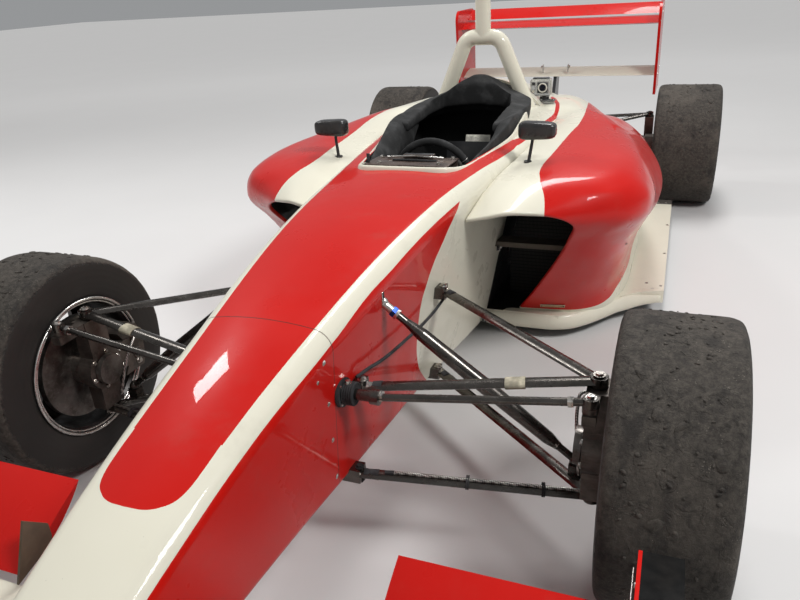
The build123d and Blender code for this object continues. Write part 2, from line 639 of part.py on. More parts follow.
def place_wheel(shape, x, y, radius, side):
    """Turn a wheel piece made about the Y axis, so that its outer side faces away from the car."""
    return Pos(side * x, y, radius) * Rot(0, 0, -90 * side) * shape


def make_hub(x, y, z, face_x, driveshaft):
    """Left hub with its shaft through the upright, brake disc, flange and nut."""
    inner = x - UPRIGHT_THICKNESS / 2 - 3 - HUB_NUT
    outer = x + UPRIGHT_THICKNESS / 2
    disc_x = outer + DISC_OFFSET
    hub = axial_cylinder(inner, disc_x + 2, y, z, HUB_SHAFT_RADIUS)
    hub += axial_cylinder(inner, inner + HUB_NUT, y, z, HUB_NUT_RADIUS)
    hub += axial_cylinder(disc_x, disc_x + DISC_THICKNESS, y, z, DISC_RADIUS)
    hub += axial_cylinder(outer + 4, face_x - HUB_FLANGE, y, z, HUB_BARREL_RADIUS)
    hub += axial_cylinder(face_x - HUB_FLANGE, face_x, y, z, HUB_FLANGE_RADIUS)
    hub += axial_cylinder(face_x, face_x + RIM_FACE_THICKNESS + 22, y, z, HUB_SPIGOT_RADIUS)
    nut_x = face_x + RIM_FACE_THICKNESS + PART_GAP
    hub += axial_cylinder(nut_x, nut_x + 18, y, z, HUB_SPIGOT_RADIUS + 9)
    if driveshaft:
        shaft_x = GEARBOX_HALF_WIDTH + OUTPUT_FLANGE + PART_GAP
        hub += axial_cylinder(shaft_x, inner, y, z, DRIVESHAFT_RADIUS)
        hub += axial_cylinder(shaft_x, shaft_x + JOINT_LENGTH, y, z, INNER_JOINT_RADIUS)
        hub += axial_cylinder(inner - JOINT_LENGTH, inner, y, z, OUTER_JOINT_RADIUS)
    return hub


def make_upright(x, y, axle_z, upper_z, lower_z, arm):
    """Left upright with its ball pins, hub bore, arm (towards +Y or -Y) and caliper."""
    half = UPRIGHT_THICKNESS / 2
    low = lower_z + EYE_HEIGHT / 2 + 1
    high = upper_z - EYE_HEIGHT / 2 - 1
    body = Pos(x, y, (low + high) / 2) * Box(2 * half, 2 * UPRIGHT_HALF_LENGTH, high - low)
    body += axial_cylinder(x - half, x + half, y, axle_z, 52)
    pin_low = lower_z - EYE_HEIGHT / 2 - PIN_END
    pin_high = upper_z + EYE_HEIGHT / 2 + PIN_END
    body += Pos(x, y, (pin_low + pin_high) / 2) * Cylinder(KINGPIN_RADIUS, pin_high - pin_low)
    toward = math.copysign(1, arm)
    reach = abs(arm) + EYE_RADIUS
    body += Pos(x - 5, y + toward * reach / 2, high - 10) * Box(24, reach, 20)
    pad = Cylinder(TRACK_ROD_EYE_RADIUS, TRACK_ROD_PAD_Z - high)
    body += Pos(x - 5, y + arm, (high + TRACK_ROD_PAD_Z) / 2) * pad
    body -= axial_cylinder(x - 2 * half, x + 2 * half, y, axle_z, HUB_SHAFT_RADIUS + RUNNING_GAP)
    return body + make_caliper(x, y, axle_z, -toward)


def make_caliper(x, y, z, toward):
    """Brake caliper that straddles the disc on the side of the upright away from its arm."""
    disc_x = x + UPRIGHT_THICKNESS / 2 + DISC_OFFSET
    inner_x = x - UPRIGHT_THICKNESS / 2 + 8
    outer_x = disc_x + DISC_THICKNESS + CALIPER_OVERHANG
    ring = axial_cylinder(inner_x, outer_x, y, z, CALIPER_OUTER_RADIUS)
    ring -= axial_cylinder(inner_x - 1, outer_x + 1, y, z, CALIPER_INNER_RADIUS)
    ring = ring & Pos(x, y + toward * 150, z) * Box(400, 200, CALIPER_HEIGHT)
    slot_end = disc_x + DISC_THICKNESS + CALIPER_CLEARANCE
    slot = axial_cylinder(disc_x - CALIPER_CLEARANCE, slot_end, y, z, DISC_RADIUS + CALIPER_CLEARANCE)
    lug = Pos(x - 4, y + toward * 60, z) * Box(24, 70, 70)
    lug -= axial_cylinder(x - 40, x + 40, y, z, 45)
    return ring - slot + lug


def bracket(foot, carrier):
    """Suspension bracket round a leg's foot, cut to the skin that carries it."""
    x, y, z = foot
    block = Pos(x - BRACKET_LENGTH / 2, y, z) * Box(BRACKET_LENGTH, BRACKET_DEPTH, BRACKET_HEIGHT)
    return block - carrier


def make_wishbone(apex, feet, carrier):
    """Left wishbone: the eye at its apex, two legs and a bracket at each leg's foot."""
    x, y, z = apex
    body = Pos(x, y, z) * Cylinder(EYE_RADIUS, EYE_HEIGHT)
    for foot in feet:
        start = Vector(*foot) - (Vector(*apex) - Vector(*foot)).normalized() * 8
        body += leg_between(tuple(start), apex)
        body += bracket(foot, carrier)
    cap = Pos(x, y, z) * Cylinder(KINGPIN_RADIUS + SHAFT_GAP, 3 * EYE_HEIGHT)
    above = Pos(x, y, z + EYE_HEIGHT / 2 + 50) * Cylinder(EYE_RADIUS + 16, 100)
    below = Pos(x, y, z - EYE_HEIGHT / 2 - 50) * Cylinder(EYE_RADIUS + 16, 100)
    outside = Pos(x + 500, y, z) * Box(1000, 60, 60) - Pos(x, y, z) * Cylinder(EYE_RADIUS, 60)
    return body - cap - above - below - outside


def make_front_wishbones(tub, ball_z, foot_rows, pushrod_end=None):
    feet = [(side_x(row["y"], row["z"]) + FOOT_REACH, row["y"], row["z"]) for row in foot_rows]
    arm = make_wishbone((KINGPIN_X, 0, ball_z), feet, tub)
    if pushrod_end:
        arm += pushrod_lug(pushrod_end, ball_z)
    return both_sides(arm)


def make_rear_wishbones(ball_z, foot_rows, pushrod_end=None):
    feet = [(GEARBOX_HALF_WIDTH + FOOT_REACH, row["y"], row["z"]) for row in foot_rows]
    gearbox = slab(POD_BACK_Y, GEARBOX_END_Y, 0, GEARBOX_TOP_Z + 50, GEARBOX_HALF_WIDTH)
    arm = make_wishbone((REAR_KINGPIN_X, REAR_AXLE_Y, ball_z), feet, gearbox)
    if pushrod_end:
        arm += pushrod_lug(pushrod_end, ball_z)
    return both_sides(arm)


def make_pushrod(ends, carrier):
    """Tapered pushrod whose thin threaded ends run into the wishbone's lug and the body."""
    outer, inner = (Vector(*end) for end in ends)
    direction = inner - outer
    outline = [(radius, part * direction.length) for part, radius in PUSHROD_TAPER]
    face = make_face(Polyline((0, 0), *outline, (0, direction.length), close=True))
    rod = revolve(Plane.XZ * face, Axis.Z)
    rod = Plane(origin=outer, z_dir=direction) * rod
    rod += Pos(*outer) * Sphere(PUSHROD_LUG / 2)
    return both_sides(rod - carrier)


def pushrod_lug(end, z):
    """Lug that carries a pushrod's eye on the lower wishbone's leg below it."""
    height = end[2] - z - PUSHROD_LUG / 4
    lug = Pos(end[0], end[1], z + height / 2) * Box(PUSHROD_LUG, PUSHROD_LUG, height)
    return lug - Pos(*end) * Sphere(PUSHROD_LUG / 2 + PART_GAP)


def rack_tower(radius):
    """Tower of the rack housing that holds the steering column's lower end."""
    foot = Vector(0, RACK_Y, RACK_Z)
    return cylinder_between(foot, foot + COLUMN_DIRECTION * RACK_TOWER_LENGTH, radius)


def make_rack_housing():
    """Tube across the tub in which the rack bar slides, with the column's tower."""
    half = RACK_HOUSING_HALF
    housing = axial_cylinder(-half, half, RACK_Y, RACK_Z, RACK_HOUSING_RADIUS)
    tower_top = Vector(0, RACK_Y, RACK_Z) + COLUMN_DIRECTION * RACK_TOWER_LENGTH
    housing += rack_tower(RACK_TOWER_RADIUS)
    socket_floor = tower_top - COLUMN_DIRECTION * 30
    socket = cylinder_between(socket_floor, tower_top + COLUMN_DIRECTION * 5, COLUMN_RADIUS + RUNNING_GAP)
    bore = axial_cylinder(-half - 1, half + 1, RACK_Y, RACK_Z, RACK_RADIUS + RUNNING_GAP)
    return housing - socket - bore


def make_track_rods():
    """Rack bar with a ball socket and a track rod at each end, all sliding as one body."""
    reach = RACK_HOUSING_HALF + RACK_TRAVEL + 6
    bar = axial_cylinder(-reach, reach, RACK_Y, RACK_Z, RACK_RADIUS)
    left = axial_cylinder(reach - 1, reach + 16, RACK_Y, RACK_Z, 15)
    eye = (KINGPIN_X - 5, -STEER_ARM, TRACK_ROD_Z)
    left += cylinder_between((reach + 10, RACK_Y, RACK_Z), eye, TRACK_ROD_RADIUS)
    left += Pos(*eye) * Cylinder(TRACK_ROD_EYE_RADIUS, TRACK_ROD_EYE_HEIGHT)
    return bar + left + mirrored(left)


def make_steering_wheel():
    """Wheel with its grip, spoke and boss, on the column that ends in the rack's tower."""
    plane = Plane(origin=WHEEL_HUB, x_dir=(1, 0, 0), z_dir=COLUMN_DIRECTION)
    grip = plane * Torus(STEERING_WHEEL_RADIUS, STEERING_GRIP_RADIUS)
    spoke = plane * Box(2 * STEERING_WHEEL_RADIUS - 6, 40, 10)
    boss = plane * Cylinder(32, 30)
    start = Vector(0, RACK_Y, RACK_Z) + COLUMN_DIRECTION * 34
    column = cylinder_between(start, WHEEL_HUB, COLUMN_RADIUS)
    return grip + spoke + boss + column


def make_dash(inner):
    """Bulkhead across the tub that carries the steering column's upper bearing."""
    plate = Pos(0, DASH_Y, 450) * Box(600, 10, 500) & inner
    legs = Pos(0, DASH_Y, 300) * Box(700, 12, 240)
    collar_mid = Vector(0, DASH_Y, COLUMN_Z_AT_DASH)
    half_length = COLUMN_DIRECTION * 20
    collar = cylinder_between(collar_mid - half_length, collar_mid + half_length, 2 * COLUMN_RADIUS)
    reach = half_length * 3
    bore = cylinder_between(collar_mid - reach, collar_mid + reach, COLUMN_RADIUS + RUNNING_GAP)
    return plate - legs + collar - bore


def make_front_wing_main():
    """Main plane with the pair of pylons that carry it below the nose."""
    half = wing_element("front_main", FRONT_ENDPLATE_X)
    outline = make_face(Polyline(*WING_PYLON, close=True))
    pylon = extrude(along_side(WING_PYLON_X) * outline, WING_PYLON_THICKNESS)
    nose = loft([body_section(row) for row in NOSE_SECTIONS])
    half = half + (pylon - nose)
    return half + mirrored(half)


def make_front_flaps():
    """Flap on each side, with the small turning vane that stands at its inner end."""
    flap = wing_element("front_flap", FRONT_ENDPLATE_X, FLAP_INNER_X)
    vane = make_face(Polyline(*FLAP_VANE, close=True))
    flap += extrude(along_side(FLAP_INNER_X - 2) * vane, VANE_THICKNESS)
    return both_sides(flap)


def make_front_endplates():
    """Upright end plates with the flange that turns outwards along their top."""
    outline = make_face(Polyline(*FRONT_ENDPLATE, close=True))
    plate = extrude(along_side(FRONT_ENDPLATE_X) * outline, FRONT_ENDPLATE_THICKNESS)
    flange = Box(FRONT_FLANGE_WIDTH, FRONT_FLANGE_LENGTH, FRONT_FLANGE_THICKNESS)
    flange_y = FRONT_ENDPLATE_BACK_Y - FRONT_FLANGE_LENGTH / 2
    flange_z = FRONT_ENDPLATE_TOP_Z - FRONT_FLANGE_THICKNESS / 2
    return both_sides(plate + Pos(FRONT_ENDPLATE_X + FRONT_FLANGE_WIDTH / 2, flange_y, flange_z) * flange)


def make_rear_wing_upper():
    """The two upper elements, which touch nothing but the end plates."""
    main = wing_element("rear_main", REAR_ENDPLATE_X)
    flap = wing_element("rear_flap", REAR_ENDPLATE_X)
    return Compound([*(main + mirrored(main)).solids(), *(flap + mirrored(flap)).solids()])


def make_rear_wing_lower():
    half = wing_element("rear_beam", REAR_ENDPLATE_X)
    return half + mirrored(half)


def make_rear_endplates():
    face = make_face(Polyline(*REAR_ENDPLATE, close=True))
    face = fillet(face.vertices().sort_by(Axis.Y)[-2:], REAR_ENDPLATE_CORNER)
    return both_sides(extrude(along_side(REAR_ENDPLATE_X) * face, REAR_ENDPLATE_THICKNESS))


def make_wing_post():
    """Post from the crash box up to the beam wing, just clear of the wing's skin."""
    outline = make_face(Polyline(*WING_POST, close=True))
    post = extrude(along_side(-WING_POST_THICKNESS / 2) * outline, WING_POST_THICKNESS)
    post -= Pos(0, 0, -PART_GAP) * make_rear_wing_lower()
    return post.solids().sort_by(Axis.Z)[0]


def make_engine():
    """Stand-in for the engine, as one block of its real place and size."""
    return slab(ENGINE_START_Y, ENGINE_END_Y, POD_FOOT_Z, ENGINE_TOP_Z, ENGINE_HALF_WIDTH)


def make_gearbox():
    """Gearbox case, tapered from the engine's width, with its two output flanges."""
    half = GEARBOX_HALF_WIDTH
    left = [(ENGINE_HALF_WIDTH, ENGINE_END_Y), (half, POD_BACK_Y), (half, GEARBOX_END_Y)]
    right = [(-x, y) for x, y in reversed(left)]
    plan = make_face(Polyline(*left, *right, close=True))
    case = extrude(Pos(0, 0, GEARBOX_BOTTOM_Z) * plan, GEARBOX_TOP_Z - GEARBOX_BOTTOM_Z)
    reach = half + OUTPUT_FLANGE
    return case + axial_cylinder(-reach, reach, REAR_AXLE_Y, REAR_TYRE_RADIUS, OUTPUT_RADIUS)


def crash_box_section(row, y):
    return across(y) * (Pos(0, row["z"]) * Rectangle(row["width"], row["height"]))


def make_crash_box():
    """Tapered rear structure with the tow eye behind it and the jacking bar through it."""
    front = crash_box_section(CRASH_BOX_FRONT, GEARBOX_END_Y)
    back = crash_box_section(CRASH_BOX_BACK, CRASH_BOX_END_Y)
    link = Pos(0, CRASH_BOX_END_Y - 4, TOW_EYE_PLACE[2]) * Box(TOW_EYE_THICKNESS, 20, 30)
    eye = Pos(*TOW_EYE_PLACE) * Rot(0, 90, 0) * Cylinder(TOW_EYE_OUTER, TOW_EYE_THICKNESS)
    hole = Pos(*TOW_EYE_PLACE) * Rot(0, 90, 0) * Cylinder(TOW_EYE_RADIUS, 2 * TOW_EYE_THICKNESS)
    bar = axial_cylinder(-JACK_BAR_HALF, JACK_BAR_HALF, CRASH_BOX_END_Y - 60, 300, JACK_BAR_RADIUS)
    return loft([front, back]) + bar + (link + eye - hole)


def make_exhaust():
    length = EXHAUST_END_Y - ENGINE_END_Y
    pipe = Cylinder(EXHAUST_RADIUS, length) - Cylinder(EXHAUST_RADIUS - EXHAUST_WALL, length)
    return Pos(0, ENGINE_END_Y + length / 2, EXHAUST_Z) * Rot(90, 0, 0) * pipe


def make_rain_light():
    return Pos(0, CRASH_BOX_END_Y + 12, 335) * Box(70, 24, 50)


def make_radiators(floor, tub):
    """Radiator cores, and the flat stays that span the ducts from the tub to the pods' flanks."""
    core = Box(RADIATOR_WIDTH, RADIATOR_DEPTH, RADIATOR_HEIGHT)
    stay = Box(STAY_LENGTH, STAY_DEPTH, STAY_HEIGHT)
    both = Pos(RADIATOR_X, RADIATOR_Y, RADIATOR_Z) * core + Pos(STAY_X, STAY_Y, STAY_Z) * stay
    return both_sides((both & pod_form(POD_WALL)) - floor - tub)


def make_mirrors(tub):
    """Mirror housing on its slanted stalk, on each side."""
    stalk = cylinder_between(MIRROR_FOOT, MIRROR_NECK, MIRROR_STALK_RADIUS) - pod_form() - tub
    housing = Pos(*MIRROR_PLACE) * Box(*MIRROR_SIZE)
    housing = fillet(housing.edges(), MIRROR_EDGE)
    return both_sides(stalk - housing + housing)


def make_seat(inner):
    """Reclined seat, cut to the tub's inside."""
    outline = make_face(Polyline(*SEAT_OUTLINE, close=True))
    return extrude(along_side(-SEAT_HALF_WIDTH) * outline, 2 * SEAT_HALF_WIDTH) & inner


def make_camera(tub, cover, pod):
    """Small camera on its foot beside the roll hoop."""
    foot = Pos(CAMERA_X, CAMERA_Y, 640) * Box(30, 40, 90)
    box = Pos(CAMERA_X, CAMERA_Y, 705) * Box(58, 34, 44)
    return foot + box - tub - cover - pod


def save(node, shape):
    """Write one node, shifted so that Y counts from the middle of the car."""
    solids = [Pos(0, -CENTRE_Y, 0) * solid for solid in shape.solids()]
    shape = solids[0] if len(solids) == 1 else Compound(solids)
    shape.label = node
    export_step(shape, "parts/" + node + ".step")
    print(node, round(shape.volume), shape.is_valid)


def save_body():
    tub = tub_outer()
    cover = cover_outer()
    inner = tub_inner()
    save("tub", make_tub(tub, inner))
    save("nose_cone", make_nose_cone())
    save("cockpit_rim", make_cockpit_rim(tub))
    headrest = make_headrest(tub)
    save("headrest", headrest)
    save("engine_cover", make_engine_cover(cover))
    floor = make_floor(tub)
    save("floor", floor)
    save("diffuser", make_diffuser())
    hoop = make_roll_hoop(tub)
    pod = make_sidepod(tub, floor) - headrest - hoop
    save("sidepod_left", pod)
    save("sidepod_right", mirrored(pod))
    save("radiators", make_radiators(floor, tub))
    save("roll_hoop", hoop)
    save("mirrors", make_mirrors(tub))
    save("onboard_camera", make_camera(tub, cover, pod_form()))
    save("seat", make_seat(inner))
    save("dash_bulkhead", make_dash(inner))


def save_rear():
    save("engine_block", make_engine())
    save("gearbox", make_gearbox())
    save("exhaust", make_exhaust())
    save("crash_box", make_crash_box())
    save("rain_light", make_rain_light())
    save("rear_wing_post", make_wing_post() - make_crash_box())
    save("rear_wing_upper", make_rear_wing_upper())
    save("rear_wing_lower", make_rear_wing_lower())
    save("rear_wing_endplates", make_rear_endplates())
    save("rear_upper_wishbones", make_rear_wishbones(REAR_UPPER_BALL_Z, REAR_UPPER_FEET))
    save("rear_lower_wishbones", make_rear_wishbones(REAR_LOWER_BALL_Z, REAR_LOWER_FEET, REAR_PUSHROD[0]))
    save("rear_pushrods", make_pushrod(REAR_PUSHROD, make_gearbox()))
    balls = (REAR_UPPER_BALL_Z, REAR_LOWER_BALL_Z)
    upright = make_upright(REAR_KINGPIN_X, REAR_AXLE_Y, REAR_TYRE_RADIUS, *balls, TOE_LINK_ARM)
    save("rear_uprights", both_sides(upright))


def save_front():
    tub = tub_outer()
    save("front_wing_main", make_front_wing_main())
    save("front_wing_flaps", make_front_flaps())
    save("front_wing_endplates", make_front_endplates())
    save("front_upper_wishbones", make_front_wishbones(tub, UPPER_BALL_Z, FRONT_UPPER_FEET))
    lower = make_front_wishbones(tub, LOWER_BALL_Z, FRONT_LOWER_FEET, FRONT_PUSHROD[0])
    save("front_lower_wishbones", lower)
    save("front_pushrods", make_pushrod(FRONT_PUSHROD, tub))
    save("rack_housing", make_rack_housing())
    save("track_rods", make_track_rods())
    save("steering_wheel", make_steering_wheel())
    upright = make_upright(KINGPIN_X, 0, FRONT_TYRE_RADIUS, UPPER_BALL_Z, LOWER_BALL_Z, -STEER_ARM)
    save("front_upright_left", upright)
    save("front_upright_right", mirrored(upright))


def save_wheels():
    front_tyre = make_tyre(FRONT_TYRE_RADIUS, FRONT_TYRE_WIDTH)
    front_rim = make_rim(FRONT_TYRE_WIDTH / 2 - RIM_TUCK, FRONT_FACE_X - FRONT_HALF_TRACK)
    rear_tyre = make_tyre(REAR_TYRE_RADIUS, REAR_TYRE_WIDTH)
    rear_rim = make_rim(REAR_TYRE_WIDTH / 2 - RIM_TUCK, REAR_FACE_X - REAR_HALF_TRACK)
    front_hub = make_hub(KINGPIN_X, 0, FRONT_TYRE_RADIUS, FRONT_FACE_X, False)
    rear_hub = make_hub(REAR_KINGPIN_X, REAR_AXLE_Y, REAR_TYRE_RADIUS, REAR_FACE_X, True)
    for side, name in ((1, "left"), (-1, "right")):
        save("front_tyre_" + name, place_wheel(front_tyre, FRONT_HALF_TRACK, 0, FRONT_TYRE_RADIUS, side))
        save("front_rim_" + name, place_wheel(front_rim, FRONT_HALF_TRACK, 0, FRONT_TYRE_RADIUS, side))
        rear_place = (REAR_HALF_TRACK, REAR_AXLE_Y, REAR_TYRE_RADIUS, side)
        save("rear_tyre_" + name, place_wheel(rear_tyre, *rear_place))
        save("rear_rim_" + name, place_wheel(rear_rim, *rear_place))
        save("front_hub_" + name, front_hub if side > 0 else mirrored(front_hub))
        save("rear_hub_" + name, rear_hub if side > 0 else mirrored(rear_hub))


save_body()
save_rear()
save_front()
save_wheels()
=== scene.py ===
import math
import random

import bmesh
import bpy
import numpy as np
from mathutils import Matrix, Vector, noise


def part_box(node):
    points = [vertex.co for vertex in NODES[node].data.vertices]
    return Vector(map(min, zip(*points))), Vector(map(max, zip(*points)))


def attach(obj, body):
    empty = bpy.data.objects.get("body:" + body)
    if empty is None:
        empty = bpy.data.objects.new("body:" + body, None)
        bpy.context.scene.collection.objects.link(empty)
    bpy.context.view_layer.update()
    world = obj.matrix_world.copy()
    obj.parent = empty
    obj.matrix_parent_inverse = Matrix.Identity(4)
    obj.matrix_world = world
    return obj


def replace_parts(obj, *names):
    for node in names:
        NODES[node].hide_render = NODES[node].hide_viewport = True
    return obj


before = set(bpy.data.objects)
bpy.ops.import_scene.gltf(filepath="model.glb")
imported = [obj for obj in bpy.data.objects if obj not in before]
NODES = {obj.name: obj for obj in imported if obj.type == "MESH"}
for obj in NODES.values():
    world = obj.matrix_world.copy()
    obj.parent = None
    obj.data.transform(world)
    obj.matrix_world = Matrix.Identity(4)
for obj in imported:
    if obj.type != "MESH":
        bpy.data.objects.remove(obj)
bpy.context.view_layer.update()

# Metres, as in the CAD frame: +Z up, the nose points to -Y and +X is the car's left.
# Tables give Y behind the front axle, as the part's source does, and car_point() shifts it.
FRONT_TYRE_LOW, FRONT_TYRE_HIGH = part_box("front_tyre_left")
REAR_TYRE_LOW, REAR_TYRE_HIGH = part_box("rear_tyre_left")
FRONT_AXLE_Y = (FRONT_TYRE_LOW.y + FRONT_TYRE_HIGH.y) / 2
REAR_AXLE_Y = (REAR_TYRE_LOW.y + REAR_TYRE_HIGH.y) / 2
WHEELBASE = REAR_AXLE_Y - FRONT_AXLE_Y
FRONT_RADIUS = (FRONT_TYRE_HIGH.z - FRONT_TYRE_LOW.z) / 2
REAR_RADIUS = (REAR_TYRE_HIGH.z - REAR_TYRE_LOW.z) / 2

# Camera, as solved from the photograph's tyres
CAMERA_PLACE = (0.688, -2.38, 1.111)
CAMERA_AZIMUTH = math.radians(-22.145)
CAMERA_ELEVATION = math.radians(-24.404)
CAMERA_ROLL = math.radians(-3.685)
SENSOR_WIDTH = 36.0
FOCAL_PIXELS = 705.22
PHOTO_WIDTH = 800

# Angle from which an edge of small parts stays sharp, and the two sides of the car
SHARP_EDGE = math.radians(40)
SIDES = ((1, "left"), (-1, "right"))

# Colours
RED = (0.53, 0.009, 0.005)
DEEP_RED = (0.44, 0.006, 0.004)
WHITE = (0.7, 0.67, 0.56)
DULL_WHITE = (0.63, 0.6, 0.49)
BLACK = (0.012, 0.012, 0.012)

# Body sections: place, half width and height of the top edge, half width and height of the bottom
BODY_SECTIONS = (
    (-0.15, 0.143, 0.535, 0.121, 0.182),
    (0.0, 0.162, 0.565, 0.126, 0.17),
    (0.3, 0.192, 0.606, 0.131, 0.14),
    (0.6, 0.224, 0.62, 0.136, 0.098),
    (0.95, 0.262, 0.624, 0.143, 0.05),
    (1.25, 0.29, 0.626, 0.148, 0.046),
    (1.53, 0.296, 0.626, 0.148, 0.046),
)
# Half width of the red panel on top of the nose, and of the red stripe beside the cockpit
PANEL_EDGE = (
    (-0.95, 0.03), (-0.6, 0.069), (-0.5, 0.079), (-0.41, 0.0855), (-0.33, 0.091), (-0.15, 0.107),
    (0.0, 0.122), (0.2, 0.143), (0.33, 0.156), (0.46, 0.169), (0.58, 0.184), (0.72, 0.204),
    (0.82, 0.221), (0.95, 0.238), (1.1, 0.252), (1.3, 0.262), (1.53, 0.266),
)
# Front end of the red panel, as distance from the middle and place
PANEL_FRONT = ((0.0, -0.562), (0.03, -0.5595), (0.045, -0.554), (0.054, -0.548), (0.062, -0.5415),
    (0.068, -0.534), (0.073, -0.523), (0.077, -0.507), (0.08, -0.475), (0.082, -0.43))
# Height of the upper edge of the red on the nose's side
SIDE_EDGE = ((-0.95, 0.274), (-0.78, 0.341), (-0.6, 0.406), (-0.38, 0.469), (-0.15, 0.515), (0.0, 0.55),
    (0.1, 0.564), (0.2, 0.578), (0.32, 0.59), (0.5, 0.601))
# Rear end of the red on the side, as height and place
SIDE_END = ((0.1, 0.42), (0.167, 0.334), (0.259, 0.267), (0.332, 0.254), (0.407, 0.261), (0.453, 0.289),
    (0.495, 0.325), (0.523, 0.363), (0.565, 0.417), (0.605, 0.49))
# Inner edge of the red on the sidepod
POD_EDGE = ((0.48, 0.405), (0.6, 0.39), (0.69, 0.361), (0.78, 0.349), (0.89, 0.356), (1.13, 0.371),
    (1.32, 0.385), (1.6, 0.369), (1.8, 0.35), (2.3, 0.3))

# Lines over the left sidepod from its lip backwards, the first along the tub and the last along the foot
POD_LINES = (
    ((.203, .51, .542), (.22, .65, .582), (.233, .74, .598), (.243, .82, .605), (.252, .9, .61),
     (.261, 1.01, .616), (.272, 1.28, .626), (.275, 1.45, .629), (.2135, 1.54, .646), (.2135, 1.8, .65),
     (.2135, 2.28, .54)),
    ((.253, .518, .55), (.293, .65, .599), (.337, .74, .613), (.36, .82, .62), (.37, .9, .624),
     (.377, 1.01, .628), (.382, 1.18, .636), (.369, 1.48, .649), (.348, 1.56, .649), (.286, 1.8, .647),
     (.251, 2.28, .527)),
    ((.298, .526, .559), (.367, .65, .595), (.442, .74, .606), (.478, .82, .613), (.489, .9, .617),
     (.492, 1.01, .62), (.483, 1.18, .625), (.443, 1.48, .63), (.42, 1.56, .628), (.353, 1.8, .62),
     (.285, 2.28, .507)),
    ((.352, .551, .553), (.428, .65, .574), (.53, .74, .584), (.576, .82, .59), (.588, .9, .594),
     (.588, 1.01, .597), (.566, 1.18, .6), (.5, 1.48, .596), (.475, 1.56, .592), (.4, 1.8, .58),
     (.31, 2.28, .484)),
    ((.4, .582, .54), (.46, .655, .56), (.563, .74, .567), (.61, .82, .566), (.622, .9, .561),
     (.624, 1.01, .555), (.611, 1.18, .553), (.567, 1.48, .557), (.546, 1.56, .556), (.481, 1.8, .555),
     (.367, 2.28, .459)),
    ((.441, .62, .515), (.505, .672, .53), (.584, .74, .537), (.632, .82, .53), (.644, .9, .518),
     (.647, 1.01, .505), (.642, 1.18, .496), (.619, 1.48, .5), (.602, 1.56, .501), (.55, 1.8, .505),
     (.415, 2.28, .421)),
    ((.458, .648, .492), (.535, .697, .497), (.59, .74, .5), (.632, .82, .489), (.642, .9, .471),
     (.648, 1.01, .45), (.658, 1.18, .433), (.651, 1.48, .43), (.638, 1.56, .431), (.599, 1.8, .436),
     (.452, 2.28, .371)),
    ((.441, .702, .43), (.485, .727, .43), (.533, .757, .43), (.588, .82, .428), (.612, .9, .42),
     (.62, 1.01, .398), (.628, 1.18, .368), (.652, 1.48, .354), (.646, 1.56, .354), (.621, 1.8, .354),
     (.475, 2.28, .313)),
    ((.404, .765, .35), (.48, .79, .35), (.54, .84, .35), (.577, .92, .348), (.59, 1.01, .338),
     (.595, 1.09, .324), (.598, 1.18, .305), (.62, 1.48, .278), (.622, 1.56, .276), (.612, 1.8, .269),
     (.482, 2.28, .251)),
    ((.35, .842, .25), (.43, .86, .25), (.5, .9, .25), (.55, .97, .25), (.572, 1.06, .25),
     (.577, 1.12, .25), (.579, 1.18, .25), (.589, 1.48, .21), (.592, 1.56, .205), (.588, 1.8, .19),
     (.472, 2.28, .19)),
    ((.304, .898, .17), (.39, .91, .17), (.465, .945, .17), (.52, 1.005, .17), (.553, 1.09, .168),
     (.564, 1.135, .166), (.57, 1.18, .164), (.576, 1.48, .145), (.579, 1.56, .142), (.584, 1.8, .135),
     (.473, 2.28, .135)),
    ((.253, .959, .088), (.345, .967, .086), (.431, .98, .084), (.489, 1.016, .082), (.539, 1.086, .08),
     (.555, 1.135, .08), (.564, 1.18, .08), (.582, 1.48, .08), (.583, 1.56, .08), (.583, 1.8, .08),
     (.47, 2.28, .08)),
)
# Upper edge of the white foot of the sidepod, as place and height
FOOT_EDGE = ((0.4, 0.098), (0.99, 0.099), (1.05, 0.108), (1.12, 0.145), (1.2, 0.16), (1.5, 0.166), (2.4, 0.17))
# Thin red stripe that runs on from the red panel beside the cockpit, as place and distance from the middle
STRIPE = ((0.95, 0.227), (1.0, 0.235), (1.1, 0.246), (1.27, 0.262), (1.46, 0.274), (1.55, 0.267), (1.64, 0.245),
    (1.73, 0.215), (1.78, 0.195))
# How far the red beside the cockpit reaches in from its outer edge
BAND_DEPTH = ((0.6, 0.3), (0.8, 0.28), (0.9, 0.1), (1.0, 0.035), (1.08, 0.016), (1.2, 0.014))
# Height of the top edge of the rim round the cockpit
RIM_TOP = ((0.59, 0.653), (0.65, 0.642), (0.7, 0.636), (0.78, 0.636), (0.9, 0.641), (0.98, 0.646),
    (1.06, 0.656), (1.16, 0.675), (1.24, 0.69), (1.3, 0.697))
# Where the sidepod's foot stands on the floor, as place and distance from the middle
POD_FOOT = ((0.9, 0.2), (0.955, 0.22), (0.963, 0.34), (0.98, 0.43), (1.016, 0.486), (1.086, 0.536),
    (1.18, 0.563), (1.48, 0.58), (1.8, 0.58), (2.28, 0.468), (2.4, 0.45))
# Thickness of the sidepod's shell
POD_WALL = 0.012


# Numbers and places

def car_point(x, y, z):
    return Vector((x, y + FRONT_AXLE_Y, z))


def spot(place):
    """A place in the CAD frame, from a vector in that frame or a tuple that counts as the tables do."""
    return place if isinstance(place, Vector) else car_point(*place)


def angles(count):
    return [2 * math.pi * k / count for k in range(count)]


def between(t, step, values, slopes):
    """Point on a smooth curve from the first value (t = 0) to the second (t = 1)."""
    near = (2 * t**3 - 3 * t**2 + 1) * values[0] + (t**3 - 2 * t**2 + t) * step * slopes[0]
    far = (3 * t**2 - 2 * t**3) * values[1] + (t**3 - t**2) * step * slopes[1]
    return near + far


